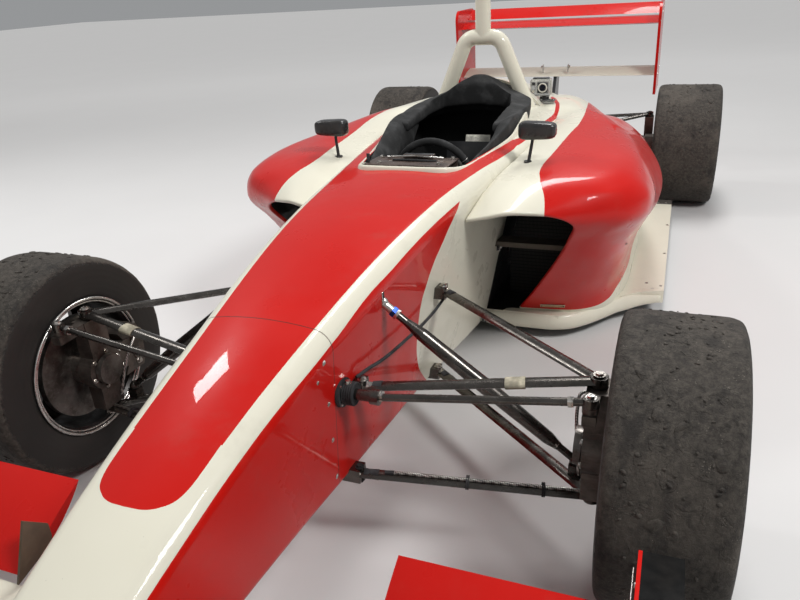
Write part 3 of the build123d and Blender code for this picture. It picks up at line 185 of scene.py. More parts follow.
def along(rows, y, column):
    """Value of a table's column at a place, along a smooth curve through its rows."""
    places = [row[0] for row in rows]
    values = [row[column] for row in rows]
    k = int(np.clip(np.searchsorted(places, y) - 1, 0, len(rows) - 2))
    slopes = np.gradient(values, places)
    step = places[k + 1] - places[k]
    t = min(max((y - places[k]) / step, 0), 1)
    return between(t, step, values[k:k + 2], slopes[k:k + 2])


def body_side(y, z):
    """Half width of the nose and tub at a place and height."""
    half, edge, foot, keel = (along(BODY_SECTIONS, y, column) for column in (1, 2, 3, 4))
    return foot + (half - foot) * (z - keel) / (edge - keel)


def smooth_line(points, steps):
    """Smooth curve through points, with a number of steps between each two."""
    points = np.array([tuple(p) for p in points])
    reach = np.concatenate(([0.0], np.cumsum(np.linalg.norm(np.diff(points, axis=0), axis=1))))
    slopes = np.gradient(points, reach, axis=0)
    line = []
    for k in range(len(points) - 1):
        step = reach[k + 1] - reach[k]
        for i in range(steps):
            t = i / steps
            line.append(between(t, step, points[k:k + 2], slopes[k:k + 2]))
    return [Vector(p) for p in (*line, points[-1])]


# Meshes

def new_object(name, mesh, body, *finishes):
    piece = bpy.data.objects.new(name, mesh)
    bpy.context.scene.collection.objects.link(piece)
    for finish in finishes:
        mesh.materials.append(FINISH[finish])
    for face in mesh.polygons:
        face.use_smooth = True
    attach(piece, body)
    return piece


def subdivide(piece, levels):
    smooth = piece.modifiers.new("smooth", "SUBSURF")
    smooth.levels = smooth.render_levels = levels


def mesh_from(name, points, faces):
    mesh = bpy.data.meshes.new(name)
    mesh.from_pydata([tuple(p) for p in points], [], faces)
    mesh.validate()
    mesh.update()
    return mesh


def grid_faces(rows, columns, wrap_rows=False, wrap_columns=False):
    faces = []
    for i in range(rows if wrap_rows else rows - 1):
        for j in range(columns if wrap_columns else columns - 1):
            a, b = i * columns + j, i * columns + (j + 1) % columns
            c, d = ((i + 1) % rows) * columns + (j + 1) % columns, ((i + 1) % rows) * columns + j
            faces.append((a, b, c, d))
    return faces


def face_outwards(mesh):
    bm = bmesh.new()
    bm.from_mesh(mesh)
    bmesh.ops.recalc_face_normals(bm, faces=bm.faces)
    bm.to_mesh(mesh)
    bm.free()


def skin_over(name, rows, wrap=True):
    """Closed skin over rows of points, with a flat face over the first row and the last."""
    count = len(rows[0])
    last = (len(rows) - 1) * count
    faces = grid_faces(len(rows), count, wrap_columns=wrap)
    faces += [tuple(range(count)), tuple(reversed(range(last, last + count)))]
    mesh = mesh_from(name, [p for row in rows for p in row], faces)
    face_outwards(mesh)
    return mesh


def mesh_from_bmesh(name, bm):
    mesh = bpy.data.meshes.new(name)
    bm.normal_update()
    bm.to_mesh(mesh)
    bm.free()
    return mesh


class Kit:
    """Collects small parts in one mesh. A place given as a tuple counts as in the tables."""

    def __init__(self, materials):
        self.bm = bmesh.new()
        self.names = materials.split()

    def frame_at(self, place, axis):
        turn = Vector(axis).normalized().to_track_quat("Z", "Y")
        return Matrix.Translation(spot(place)) @ turn.to_matrix().to_4x4()

    def rod(self, material, start, end, radius, end_radius=None, sides=20):
        start, end = spot(start), spot(end)
        made = bmesh.ops.create_cone(self.bm, cap_ends=True, segments=sides, radius1=radius,
            radius2=radius if end_radius is None else end_radius,
            depth=(end - start).length, matrix=self.frame_at((start + end) / 2, end - start))
        self.paint(made["verts"], material)

    def bolt(self, material, place, axis, radius=0.006, height=0.005, sides=6):
        """Hexagonal or round head on a washer."""
        place, axis = spot(place), Vector(axis).normalized()
        washer = place + axis * height * 0.25
        self.rod(material, place, washer, radius * 1.35)
        self.rod(material, washer, place + axis * height, radius, radius * 0.9, sides)

    def ball(self, material, place, radius, squash=(1, 1, 1)):
        shape = Matrix.Translation(spot(place)) @ Matrix.Diagonal((*squash, 1))
        made = bmesh.ops.create_uvsphere(self.bm, u_segments=20, v_segments=12, radius=radius, matrix=shape)
        self.paint(made["verts"], material)

    def block(self, material, place, size, axis=(0, 0, 1), bevel=0.0015):
        shape = self.frame_at(place, axis) @ Matrix.Diagonal((*size, 1))
        made = bmesh.ops.create_cube(self.bm, size=1, matrix=shape)
        self.paint(made["verts"], material)
        edges = list({edge for vert in made["verts"] for edge in vert.link_edges})
        bmesh.ops.bevel(self.bm, geom=edges, offset=bevel, segments=2, affect="EDGES", profile=0.5)

    def join(self, material, loops, wrap=False):
        """Faces between loops of points, with a flat face at both ends or none where the loops wrap round."""
        index = self.names.index(material)
        loops = [[self.bm.verts.new(point) for point in loop] for loop in loops]
        sides = len(loops[0])
        for near, far in zip(loops, loops[1:] + loops[:1] if wrap else loops[1:]):
            for j in range(sides):
                quad = (near[j], near[(j + 1) % sides], far[(j + 1) % sides], far[j])
                self.bm.faces.new(quad).material_index = index
        if not wrap:
            self.bm.faces.new(list(reversed(loops[0]))).material_index = index
            self.bm.faces.new(loops[-1]).material_index = index

    def ring(self, material, place, axis, radius, thickness, around=64, sides=10):
        shape = self.frame_at(place, axis)
        loops = []
        for a in angles(around):
            section = [(radius + thickness * math.cos(b), -thickness * math.sin(b)) for b in angles(sides)]
            loops.append([shape @ Vector((r * math.cos(a), r * math.sin(a), high)) for r, high in section])
        self.join(material, loops, wrap=True)

    def sleeve(self, material, start, end, width, height, sides=28):
        """Oval sleeve between two points, for what is wrapped round a suspension leg."""
        start, end = spot(start), spot(end)
        leg = (end - start).normalized()
        wide = leg.cross(Vector((0, 0, 1))).normalized()
        high = wide.cross(leg)
        self.join(material, [[place + width / 2 * math.cos(a) * wide + height / 2 * math.sin(a) * high
            for a in angles(sides)] for place in (start, end)])

    def tube(self, material, points, radius, sides=12, steps=6):
        """Round tube along a smooth line through points."""
        line = smooth_line([spot(p) for p in points], steps)
        loops = []
        side = None
        for k, place in enumerate(line):
            ahead = (line[min(k + 1, len(line) - 1)] - line[max(k - 1, 0)]).normalized()
            side = side or ahead.orthogonal().normalized()
            side = (side - ahead * side.dot(ahead)).normalized()
            other = ahead.cross(side)
            loops.append([place + radius * (math.cos(a) * side + math.sin(a) * other) for a in angles(sides)])
        self.join(material, loops)

    def paint(self, verts, material):
        for face in {face for vert in verts for face in vert.link_faces}:
            face.material_index = self.names.index(material)

    def mirror(self):
        """Adds the mirror image of everything so far on the car's other side."""
        made = bmesh.ops.duplicate(self.bm, geom=[*self.bm.verts, *self.bm.edges, *self.bm.faces])["geom"]
        verts = [g for g in made if isinstance(g, bmesh.types.BMVert)]
        for vert in verts:
            vert.co.x = -vert.co.x
        bmesh.ops.reverse_faces(self.bm, faces=[g for g in made if isinstance(g, bmesh.types.BMFace)])

    def finish(self, name, body):
        mesh = mesh_from_bmesh(name, self.bm)
        piece = new_object(name, mesh, body, *self.names)
        mesh.set_sharp_from_angle(angle=SHARP_EDGE)
        return piece


# Materials

class Field:
    """Number that varies over a surface, used in formulas that become nodes."""

    def __init__(self, tree, socket):
        self.tree = tree
        self.socket = socket

    def op(self, kind, *others):
        node = self.tree.nodes.new("ShaderNodeMath")
        node.operation = kind
        for k, value in enumerate((self, *others)):
            if isinstance(value, Field):
                self.tree.links.new(value.socket, node.inputs[k])
            else:
                node.inputs[k].default_value = value
        return Field(self.tree, node.outputs[0])

    def __add__(self, other):
        return self.op("ADD", other)

    def __sub__(self, other):
        return self.op("SUBTRACT", other)

    def __mul__(self, other):
        return self.op("MULTIPLY", other)

    def __gt__(self, other):
        return self.op("GREATER_THAN", other)

    def __lt__(self, other):
        return self.op("LESS_THAN", other)

    def absolute(self):
        return self.op("ABSOLUTE")

    def both(self, other):
        return self.op("MINIMUM", other)

    def either(self, other):
        return self.op("MAXIMUM", other)

    def invert(self):
        return self * -1 + 1

    def ramp(self, low, high, start=0.0, end=1.0):
        """Goes smoothly from start at low to end at high."""
        node = self.tree.nodes.new("ShaderNodeMapRange")
        node.interpolation_type = "SMOOTHSTEP"
        for name, value in (("From Min", low), ("From Max", high), ("To Min", start), ("To Max", end)):
            node.inputs[name].default_value = value
        self.tree.links.new(self.socket, node.inputs["Value"])
        return Field(self.tree, node.outputs[0])

    def curve(self, points, low, high):
        """Height of a curve through points whose heights lie between low and high."""
        first, last = points[0][0], points[-1][0]
        scaled = (self - first) * (1 / (last - first))
        node = self.tree.nodes.new("ShaderNodeFloatCurve")
        line = node.mapping.curves[0]
        places = [((x - first) / (last - first), (value - low) / (high - low)) for x, value in points]
        line.points[0].location = places[0]
        line.points[1].location = places[-1]
        for place in places[1:-1]:
            line.points.new(*place)
        for point in line.points:
            point.handle_type = "AUTO_CLAMPED"
        node.mapping.update()
        self.tree.links.new(scaled.socket, node.inputs["Value"])
        return Field(self.tree, node.outputs[0]) * (high - low) + low


class Finish:
    """Node material with short calls for what drives its shader."""

    def __init__(self, name, colour, roughness=0.5, metallic=0.0, coat=0.0, specular=0.5, coat_roughness=0.06):
        self.material = bpy.data.materials.new(name)
        self.material.use_nodes = True
        self.tree = self.material.node_tree
        self.shader = self.tree.nodes["Principled BSDF"]
        self.shader.inputs["Base Color"].default_value = (*colour, 1)
        self.shader.inputs["Roughness"].default_value = roughness
        self.shader.inputs["Metallic"].default_value = metallic
        self.shader.inputs["Coat Weight"].default_value = coat
        self.shader.inputs["Coat Roughness"].default_value = coat_roughness
        self.shader.inputs["Specular IOR Level"].default_value = specular
        self.coordinates = self.tree.nodes.new("ShaderNodeTexCoord").outputs["Object"]
        self.height = None

    def axes(self):
        """X, Y behind the front axle, and Z as fields."""
        node = self.tree.nodes.new("ShaderNodeSeparateXYZ")
        self.tree.links.new(self.coordinates, node.inputs[0])
        x, y, z = (Field(self.tree, socket) for socket in node.outputs)
        return x, y - FRONT_AXLE_Y, z

    def normal(self):
        node = self.tree.nodes.new("ShaderNodeSeparateXYZ")
        geometry = self.tree.nodes.new("ShaderNodeNewGeometry")
        self.tree.links.new(geometry.outputs["Normal"], node.inputs[0])
        return [Field(self.tree, socket) for socket in node.outputs]

    def stretched(self, stretch):
        node = self.tree.nodes.new("ShaderNodeMapping")
        node.inputs["Scale"].default_value = stretch
        self.tree.links.new(self.coordinates, node.inputs["Vector"])
        return node.outputs[0]

    def noise(self, scale, detail=4.0, roughness=0.55, stretch=(1, 1, 1), distortion=0.0):
        node = self.tree.nodes.new("ShaderNodeTexNoise")
        for name, value in (("Scale", scale), ("Detail", detail), ("Roughness", roughness),
                ("Distortion", distortion)):
            node.inputs[name].default_value = value
        self.tree.links.new(self.stretched(stretch), node.inputs["Vector"])
        return Field(self.tree, node.outputs["Fac"])

    def cells(self, scale, randomness=1.0):
        node = self.tree.nodes.new("ShaderNodeTexVoronoi")
        node.inputs["Scale"].default_value = scale
        node.inputs["Randomness"].default_value = randomness
        self.tree.links.new(self.coordinates, node.inputs["Vector"])
        return Field(self.tree, node.outputs["Distance"])

    def bands(self, scale, direction):
        node = self.tree.nodes.new("ShaderNodeTexWave")
        node.bands_direction = direction
        node.inputs["Scale"].default_value = scale
        self.tree.links.new(self.coordinates, node.inputs["Vector"])
        return Field(self.tree, node.outputs["Fac"])

    def mix(self, near, far, amount):
        """Colour between two colours, each a tuple or a socket."""
        node = self.tree.nodes.new("ShaderNodeMix")
        node.data_type = "RGBA"
        for name, value in (("A", near), ("B", far)):
            socket = [s for s in node.inputs if s.name == name and s.type == "RGBA"][0]
            if isinstance(value, tuple):
                socket.default_value = (*value, 1)
            else:
                self.tree.links.new(value, socket)
        self.tree.links.new(amount.socket, node.inputs["Factor"])
        return [s for s in node.outputs if s.type == "RGBA"][0]

    def colour(self, socket):
        self.tree.links.new(socket, self.shader.inputs["Base Color"])
        return self

    def roughness(self, field):
        self.tree.links.new(field.socket, self.shader.inputs["Roughness"])
        return self

    def bump(self, field, depth, strength=1.0):
        node = self.tree.nodes.new("ShaderNodeBump")
        node.inputs["Distance"].default_value = depth
        node.inputs["Strength"].default_value = strength
        self.tree.links.new(field.socket, node.inputs["Height"])
        if self.height:
            self.tree.links.new(self.height, node.inputs["Normal"])
        self.height = node.outputs[0]
        self.tree.links.new(self.height, self.shader.inputs["Normal"])
        return self


def paint_finish(name, colour_maker, roughness=0.32):
    """Gloss paint over composite, with faint waviness, dust, scuffs and a few small chips."""
    finish = Finish(name, WHITE, roughness, coat=0.5, specular=0.1, coat_roughness=0.03)
    finish.shader.inputs["Coat IOR"].default_value = 1.38
    base = colour_maker(finish)
    tone = finish.noise(2.3, 3, 0.5)
    grime = finish.noise(13.0, 7, 0.62).ramp(0.52, 0.74)
    dusty = finish.mix(base, (0.15, 0.12, 0.095), grime * tone.ramp(0.42, 0.64) * 0.1)
    chip = finish.cells(95.0).ramp(0.07, 0.04) * finish.noise(5.0, 2).ramp(0.6, 0.68)
    finish.colour(finish.mix(dusty, (0.09, 0.075, 0.065), chip * 0.4))
    finish.roughness(finish.noise(7.0, 5, 0.6).ramp(0.35, 0.7, roughness - 0.05, roughness + 0.1))
    finish.bump(finish.noise(6.0, 2, 0.4), 0.001, 0.12)
    finish.bump(finish.noise(380.0, 2, 0.5), 0.00006, 0.15)
    return finish.material


def stripe_on(x, y, z):
    """Where the thin red stripe beside the cockpit lies."""
    across = (x.absolute() - y.curve(STRIPE, 0.15, 0.3)).absolute()
    return (across < 0.0075).both(z > 0.58).both(y > 0.98).both(y < 1.775)


def paint_tones(finish):
    shade = finish.noise(4.0, 3)
    return finish.mix(RED, DEEP_RED, shade), finish.mix(WHITE, DULL_WHITE, shade)


def red_where(finish, field):
    """Red where the field is 1 and white elsewhere."""
    red_tone, white_tone = paint_tones(finish)
    return finish.mix(white_tone, red_tone, field)


def body_colours(finish):
    """Red panel on top, white band along its edges, red sides and white behind; dark where it faces inwards."""
    x, y, z = finish.axes()
    wide = x.absolute()
    above = z - y.curve(SIDE_EDGE, 0.25, 0.65)
    rounded = (y - wide.curve(PANEL_FRONT, -0.6, -0.4) > 0).either(y > -0.43)
    on_top = ((wide - y.curve(PANEL_EDGE, 0.0, 0.3)) < 0).both(above > 0).both(rounded)
    side = (above < 0).both(y - z.curve(SIDE_END, 0.2, 0.55) < 0)
    nx, ny, nz = finish.normal()
    inward = (x * nx + (z - 0.36) * nz) < 0.02
    opening = inward.both(y > -0.1).either((ny.absolute() > 0.9).both(y > 1.4))
    duct = (nx.absolute() > 0.5).both(y > 0.93).both(z < 0.6)
    band = (wide - y.curve(PANEL_EDGE, 0.0, 0.3) + y.curve(BAND_DEPTH, 0, 0.31)) > 0
    rear = on_top.both(band.either(y < 0.62)).both(y < 1.19).either(stripe_on(x, y, z))
    skin = red_where(finish, rear.either(side))
    seam = ((y + 0.15).absolute() < 0.0012) * 0.75
    skin = finish.mix(skin, (0.05, 0.02, 0.015), seam)
    return finish.mix(skin, (0.016, 0.016, 0.016), opening.either(duct))


def pod_colours(finish):
    """Red outer side and flank, white top and foot, and the thin stripe along the tub."""
    x, y, z = finish.axes()
    outer = (x.absolute() - y.curve(POD_EDGE, 0.25, 0.45)) > 0
    flank = (z < 0.53).both(y - z * 0.4 > 0.44)
    above_foot = (z - y.curve(FOOT_EDGE, 0.05, 0.2)) > 0
    red = outer.either(flank).both(above_foot)
    return red_where(finish, red.either(stripe_on(x, y, z)))


def floor_colours(finish):
    """White lips and side plates, dark under the car and in the ducts, with a grey strip at the back."""
    x, y, z = finish.axes()
    wide = x.absolute()
    upwards = finish.normal()[2]
    white_tone = paint_tones(finish)[1]
    duct = (wide - y.curve(POD_FOOT, 0.1, 0.7) < -0.004).both(upwards > 0.5).both(y > 0.93)
    under = (upwards < -0.3).both(z < 0.07)
    strip = (y > 2.255).both(wide > 0.47)
    skin = finish.mix(white_tone, (0.085, 0.075, 0.068), strip)
    return finish.mix(skin, (0.018, 0.017, 0.016), duct.either(under))


def cover_colours(finish):
    """White cover over which the thin red stripe ends."""
    return red_where(finish, stripe_on(*finish.axes()))


def rim_colours(finish):
    """White top edge; red below it on the outside, black on the inside."""
    x, y, z = finish.axes()
    nx, ny, nz = finish.normal()
    depth = y.curve(RIM_TOP, 0.6, 0.72) - z
    inside = ((x * nx) + ((y - 0.95) * ny) < 0).both(depth > 0.006).both(nz < 0.5)
    low = (depth > 0.015).both(inside.invert() > 0.5).both(y > 0.64).both(y < 1.0)
    return finish.mix(red_where(finish, low), (0.013, 0.013, 0.013), inside)


def wing_colours(finish):
    """White main plane; the pylons that carry it are red."""
    x, _, z = finish.axes()
    return red_where(finish, (z > 0.15).both(x.absolute() < 0.1))


def flap_colours(finish):
    """Red flap whose small inner vane is smoky brown."""
    x, y, _ = finish.axes()
    red_tone = paint_tones(finish)[0]
    smoke = finish.mix((0.06, 0.046, 0.032), (0.15, 0.115, 0.075), finish.noise(24.0, 5))
    vane = (x.absolute() < 0.3362).both(y < -0.4495)
    return finish.mix(red_tone, smoke, vane)


def endplate_colours(finish):
    """Black end plate with a red strip along the top of its upright part."""
    x, y, z = finish.axes()
    red_tone = paint_tones(finish)[0]
    black = finish.mix((0.004, 0.004, 0.004), (0.012, 0.011, 0.01), finish.noise(18.0, 6, 0.6).ramp(0.4, 0.7))
    strip = (x.absolute() < 0.7005).both(z - (y * 0.55) > 0.475)
    return finish.mix(black, red_tone, strip.both(z > 0.334))


def plain_colours(near, far):
    return lambda finish: finish.mix(near, far, finish.noise(5.0, 3))


def composite_finish(name, gloss=0.35):
    """Carbon composite with a fine twill weave under a thin coat."""
    finish = Finish(name, (0.02, 0.02, 0.02), gloss, coat=0.4, coat_roughness=0.15)
    weave = finish.bands(190, "X") * finish.bands(190, "Y")
    dust = finish.noise(14.0, 5).ramp(0.45, 0.75)
    cloth = finish.mix((0.012, 0.012, 0.013), (0.034, 0.034, 0.036), weave)
    finish.colour(finish.mix(cloth, (0.1, 0.09, 0.08), dust * 0.25))
    finish.bump(weave, 0.0003, 0.3)
    return finish.material


def metal_finish(name, colour, dark, roughness=0.35, scuff=0.12, metallic=1.0):
    """Bare or painted metal with stains and fine scratches."""
    finish = Finish(name, colour, roughness, metallic)
    stain = finish.noise(18.0, 6, 0.65).ramp(0.38, 0.68)
    scratch = finish.noise(120.0, 3, 0.7, stretch=(0.15, 1, 1)).ramp(0.5, 0.72)
    finish.colour(finish.mix(finish.mix(colour, dark, stain), tuple(min(1, c * 1.7) for c in colour),
        scratch * 0.35))
    finish.roughness(finish.noise(30.0, 5).ramp(0.35, 0.7, roughness - scuff / 2, roughness + scuff))
    finish.bump(finish.noise(160.0, 3), 0.0002, 0.3)
    return finish.material


def rubber_finish(name, radius, axle_y):
    """Worn slick: grey-brown grained tread, torn shoulders, darker smooth sidewalls."""
    finish = Finish(name, (0.05, 0.045, 0.04), 0.75, specular=0.35)
    _, y, z = finish.axes()
    up = z - radius
    back = y - axle_y
    reach = (up * up + back * back).op("SQRT")
    ragged = (finish.noise(70.0, 6, 0.72) - 0.5) * 0.022
    tread = (reach + ragged).ramp(radius - 0.02, radius - 0.013)
    mottled = finish.mix((0.022, 0.019, 0.016), (0.072, 0.062, 0.052),
        finish.noise(90.0, 9, 0.8).ramp(0.34, 0.68))
    worn = finish.mix(mottled, (0.1, 0.085, 0.07), finish.noise(5.0, 4, 0.6).ramp(0.48, 0.72) * 0.55)
    smear = finish.noise(16.0, 6, 0.65, stretch=(1, 0.6, 0.6)).ramp(0.52, 0.66)
    worn = finish.mix(worn, (0.016, 0.014, 0.013), smear * 0.7)
    speck = finish.cells(300.0).ramp(0.2, 0.08) * finish.noise(26.0, 5, 0.65).ramp(0.54, 0.64)
    dusty = finish.mix(worn, (0.42, 0.38, 0.32), speck * 0.8)
    wall = finish.mix((0.012, 0.0115, 0.011), (0.028, 0.025, 0.022), finish.noise(9.0, 5))
    finish.colour(finish.mix(wall, dusty, tread))
    finish.roughness(tread.ramp(0, 1, 0.5, 0.85))
    finish.bump(finish.noise(330.0, 6, 0.75) * tread, 0.0014, 0.9)
    finish.bump(finish.noise(95.0, 5, 0.65, distortion=0.4) * tread, 0.0028, 0.8)
    finish.bump(finish.noise(30.0, 5, 0.6, distortion=0.8).ramp(0.55, 0.6) * tread, 0.0016, 0.7)
    finish.bump((reach * 420.0).op("SINE") * tread.invert(), 0.00018, 0.35)
    return finish.material


def foam_finish(name, colour=(0.014, 0.014, 0.014)):
    """Matt black foam or rubber with a fine pebbled skin."""
    finish = Finish(name, colour, 0.8, specular=0.3)
    finish.colour(finish.mix(colour, tuple(c * 3.2 for c in colour),
        finish.noise(22.0, 6, 0.6).ramp(0.4, 0.75)))
    finish.bump(finish.cells(520.0), 0.0005, 0.35)
    finish.bump(finish.noise(60.0, 4), 0.0006, 0.3)
    return finish.material


def lens_finish(name, colour):
    finish = Finish(name, colour, 0.12, coat=0.8)
    finish.bump(finish.cells(240.0, randomness=0.0), 0.0006, 0.6)
    finish.colour(finish.mix(colour, tuple(c * 0.4 for c in colour), finish.cells(240.0, randomness=0.0)))
    return finish.material


def dull_finish(name, colour_maker):
    """Bare composite with little gloss."""
    finish = Finish(name, BLACK, 0.55, specular=0.05)
    finish.colour(colour_maker(finish))
    finish.roughness(finish.noise(20.0, 5).ramp(0.35, 0.7, 0.45, 0.65))
    finish.bump(finish.noise(240.0, 4), 0.0002, 0.4)
    return finish.material


def core_finish(name):
    """Dark radiator core: fine upright fins between level tubes."""
    finish = Finish(name, (0.03, 0.03, 0.03), 0.6, metallic=0.6)
    x, y, z = finish.axes()
    fins = (x * 1400.0).op("SINE") * 0.5 + 0.5
    tubes = (z * 520.0).op("SINE").ramp(0.55, 0.95)
    stay = finish.mix((0.16, 0.135, 0.11), (0.09, 0.075, 0.062), finish.noise(30.0, 5))
    core = finish.mix((0.01, 0.01, 0.01), (0.045, 0.043, 0.04), fins.both(tubes.invert()))
    finish.colour(finish.mix(core, stay, y < 0.99))
    finish.bump(tubes, 0.001, 0.4)
    return finish.material


def braid_finish(name):
    """Steel braid over a hose, as two crossing sets of fine bands."""
    finish = Finish(name, (0.45, 0.43, 0.4), 0.35, metallic=1.0)
    x, y, _ = finish.axes()
    one = ((x + y) * 900.0).op("SINE")
    other = ((x - y) * 900.0).op("SINE")
    weave = (one * other).ramp(-0.4, 0.4)
    finish.colour(finish.mix((0.1, 0.095, 0.09), (0.62, 0.6, 0.56), weave))
    finish.bump(weave, 0.0004, 0.5)
    return finish.material


def clear_finish(name):
    """Clear, slightly scuffed plastic, rough enough to hide what is not modelled behind it."""
    finish = Finish(name, (0.6, 0.61, 0.6), 0.1, coat=0.5)
    finish.shader.inputs["Transmission Weight"].default_value = 0.75
    finish.shader.inputs["IOR"].default_value = 1.3
    finish.roughness(finish.noise(60.0, 5).ramp(0.4, 0.7, 0.05, 0.2))
    finish.bump(finish.noise(90.0, 3), 0.0002, 0.2)
    return finish.material


# Metals and hard plastics: name, colour, stain's colour, roughness, spread of the roughness, metallic share
METALS = {
    "bright": ("bright_alloy", (0.78, 0.76, 0.72), (0.5, 0.48, 0.45), 0.24, 0.1, 0.9),
    "clamp": ("pale_bracket", (0.62, 0.6, 0.54), (0.4, 0.38, 0.34), 0.35, 0.1, 0.1),
    "brown": ("brown_panel", (0.115, 0.08, 0.066), (0.045, 0.032, 0.028), 0.28, 0.15, 0.3),
    "gloss": ("gloss_black", (0.02, 0.02, 0.021), (0.035, 0.032, 0.03), 0.22, 0.1, 0.0),
    "alloy": ("alloy", (0.5, 0.48, 0.45), (0.26, 0.24, 0.21), 0.36, 0.2),
    "cast": ("cast_alloy", (0.42, 0.41, 0.39), (0.2, 0.18, 0.16), 0.55, 0.2),
    "steel": ("bright_steel", (0.62, 0.6, 0.57), (0.34, 0.3, 0.26), 0.26, 0.18),
    "arm": ("dark_steel", (0.12, 0.11, 0.1), (0.085, 0.076, 0.068), 0.24, 0.08, 0.95),
    "upright": ("dark_alloy", (0.13, 0.11, 0.095), (0.06, 0.052, 0.046), 0.42, 0.2, 0.75),
    "disc": ("worn_steel", (0.2, 0.185, 0.17), (0.09, 0.078, 0.068), 0.38, 0.2, 0.9),
    "rim": ("dark_rim", (0.075, 0.072, 0.07), (0.035, 0.032, 0.03), 0.38, 0.2, 0.8),
    "lens_black": ("lens_black", (0.012, 0.014, 0.02), (0.008, 0.008, 0.012), 0.06, 0.03, 0.0),
    "tan": ("tan_plate", (0.36, 0.25, 0.13), (0.2, 0.13, 0.07), 0.4, 0.2, 0.4),
    "blue": ("blue_fitting", (0.02, 0.05, 0.22), (0.01, 0.02, 0.1), 0.3, 0.1, 0.9),
    "glass": ("mirror_glass", (0.75, 0.77, 0.78), (0.62, 0.64, 0.66), 0.04, 0.03),
}


def make_finishes():
    made = {
        "body": paint_finish("body_paint", body_colours),
        "pod": paint_finish("pod_paint", pod_colours),
        "red": paint_finish("red_paint", plain_colours(RED, DEEP_RED)),
        "white": paint_finish("white_paint", plain_colours(WHITE, DULL_WHITE)),
        "floor": paint_finish("floor_paint", floor_colours, 0.38),
        "cover": paint_finish("cover_paint", cover_colours),
        "wing": paint_finish("wing_paint", wing_colours),
        "flap": paint_finish("flap_paint", flap_colours),
        "cockpit_edge": paint_finish("cockpit_edge_paint", rim_colours),
        "endplate": dull_finish("endplate_composite", endplate_colours),
        "core": core_finish("radiator_core"),
        "braid": braid_finish("braided_hose"),
        "clear": clear_finish("clear_housing"),
        "label": foam_finish("pale_label", (0.55, 0.53, 0.46)),
        "composite": composite_finish("dark_composite"),
        "inner": composite_finish("inner_composite", 0.55),
        "plastic": foam_finish("dark_plastic", (0.018, 0.018, 0.019)),
        "foam": foam_finish("black_foam"),
        "lens": lens_finish("red_lens", (0.5, 0.02, 0.015)),
        "tape": foam_finish("pale_tape", (0.22, 0.2, 0.15)),
    }
    for key, row in METALS.items():
        made[key] = metal_finish(*row)
    made["front_tyre"] = rubber_finish("front_tyre_rubber", FRONT_RADIUS, 0.0)
    made["rear_tyre"] = rubber_finish("rear_tyre_rubber", REAR_RADIUS, WHEELBASE)
    return made


FINISH = make_finishes()

# Nodes that wear each finish
NODE_FINISHES = {
    "body": "tub nose_cone",
    "white": "cockpit_rim roll_hoop rear_wing_lower",
    "cover": "engine_cover",
    "floor": "floor",
    "wing": "front_wing_main",
    "flap": "front_wing_flaps",
    "endplate": "front_wing_endplates",
    "red": "rear_wing_upper rear_wing_endplates",
    "composite": "diffuser dash_bulkhead seat crash_box rear_wing_post",
    "gloss": "onboard_camera mirrors",
    "plastic": "rack_housing steering_wheel",
    "foam": "headrest",
    "core": "radiators",
    "upright": "front_upright_left front_upright_right rear_uprights",
    "cast": "engine_block gearbox",
    "steel": "exhaust",
    "disc": "front_hub_left front_hub_right rear_hub_left rear_hub_right",
    "arm": "rear_upper_wishbones rear_lower_wishbones rear_pushrods front_upper_wishbones "
        "front_lower_wishbones front_pushrods track_rods",
    "rim": "front_rim_left front_rim_right rear_rim_left rear_rim_right",
    "lens": "rain_light",
    "pod": "sidepod_left sidepod_right",
    "front_tyre": "front_tyre_left front_tyre_right",
    "rear_tyre": "rear_tyre_left rear_tyre_right",
}


def dress_nodes():
    for finish, names in NODE_FINISHES.items():
        for name in names.split():
            mesh = NODES[name].data
            mesh.materials.clear()
            mesh.materials.append(FINISH[finish])


# Sidepods

def make_sidepod(side, name):
    """Thin shell over a smooth surface through the lines, with a rounded lip at its inlet."""
    paths = [smooth_line(line, 7) for line in POD_LINES]
    rings = [smooth_line([path[i] for path in paths], 6) for i in range(len(paths[0]))]
    points = [car_point(side * p.x, p.y, p.z) for ring in rings for p in ring]
    faces = grid_faces(len(rings), len(rings[0]))
    if side < 0:
        faces = [tuple(reversed(face)) for face in faces]
    mesh = mesh_from(name, points, faces)
    top = sum(face.normal.z for face in mesh.polygons if face.center.z > 0.6)
    if top < 0:
        mesh.flip_normals()
    pod = new_object(name, mesh, "chassis", "pod", "inner")
    shell = pod.modifiers.new("shell", "SOLIDIFY")
    shell.thickness = POD_WALL
    shell.offset = -1
    shell.material_offset = 1
    lip = pod.modifiers.new("lip", "BEVEL")
    lip.width = 0.0045
    lip.segments = 3
    lip.limit_method = "ANGLE"
    lip.angle_limit = math.radians(60)
    return pod


def make_sidepods():
    for side, word in SIDES:
        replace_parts(make_sidepod(side, "sidepod_skin_" + word), "sidepod_" + word)


# Cockpit

def opening_half(y):
    """Half width of the cockpit opening at a place behind its front corners."""
    return float(np.interp(y, (0.618, 0.8, 1.02, 1.3), (0.138, 0.168, 0.205, 0.208)))


def rim_path():
    """Line round the front of the cockpit opening, from beside the left of the headrest to the right."""
    left = [(opening_half(y) + 0.006, y) for y in np.linspace(1.24, 0.7, 16)]
    centre = (0.088, 0.676)
    corner = [(centre[0] + 0.06 * math.cos(a),
        centre[1] + 0.067 * math.sin(a)) for a in np.radians((-8, -30, -52, -74, -90))]
    front = [(x, 0.609) for x in (0.06, 0.03, 0.0)]
    half = left + corner + front
    return half + [(-x, y) for x, y in reversed(half[:-1])]


def rim_top(y):
    return float(np.interp(y, [p for p, _ in RIM_TOP], [z for _, z in RIM_TOP]))


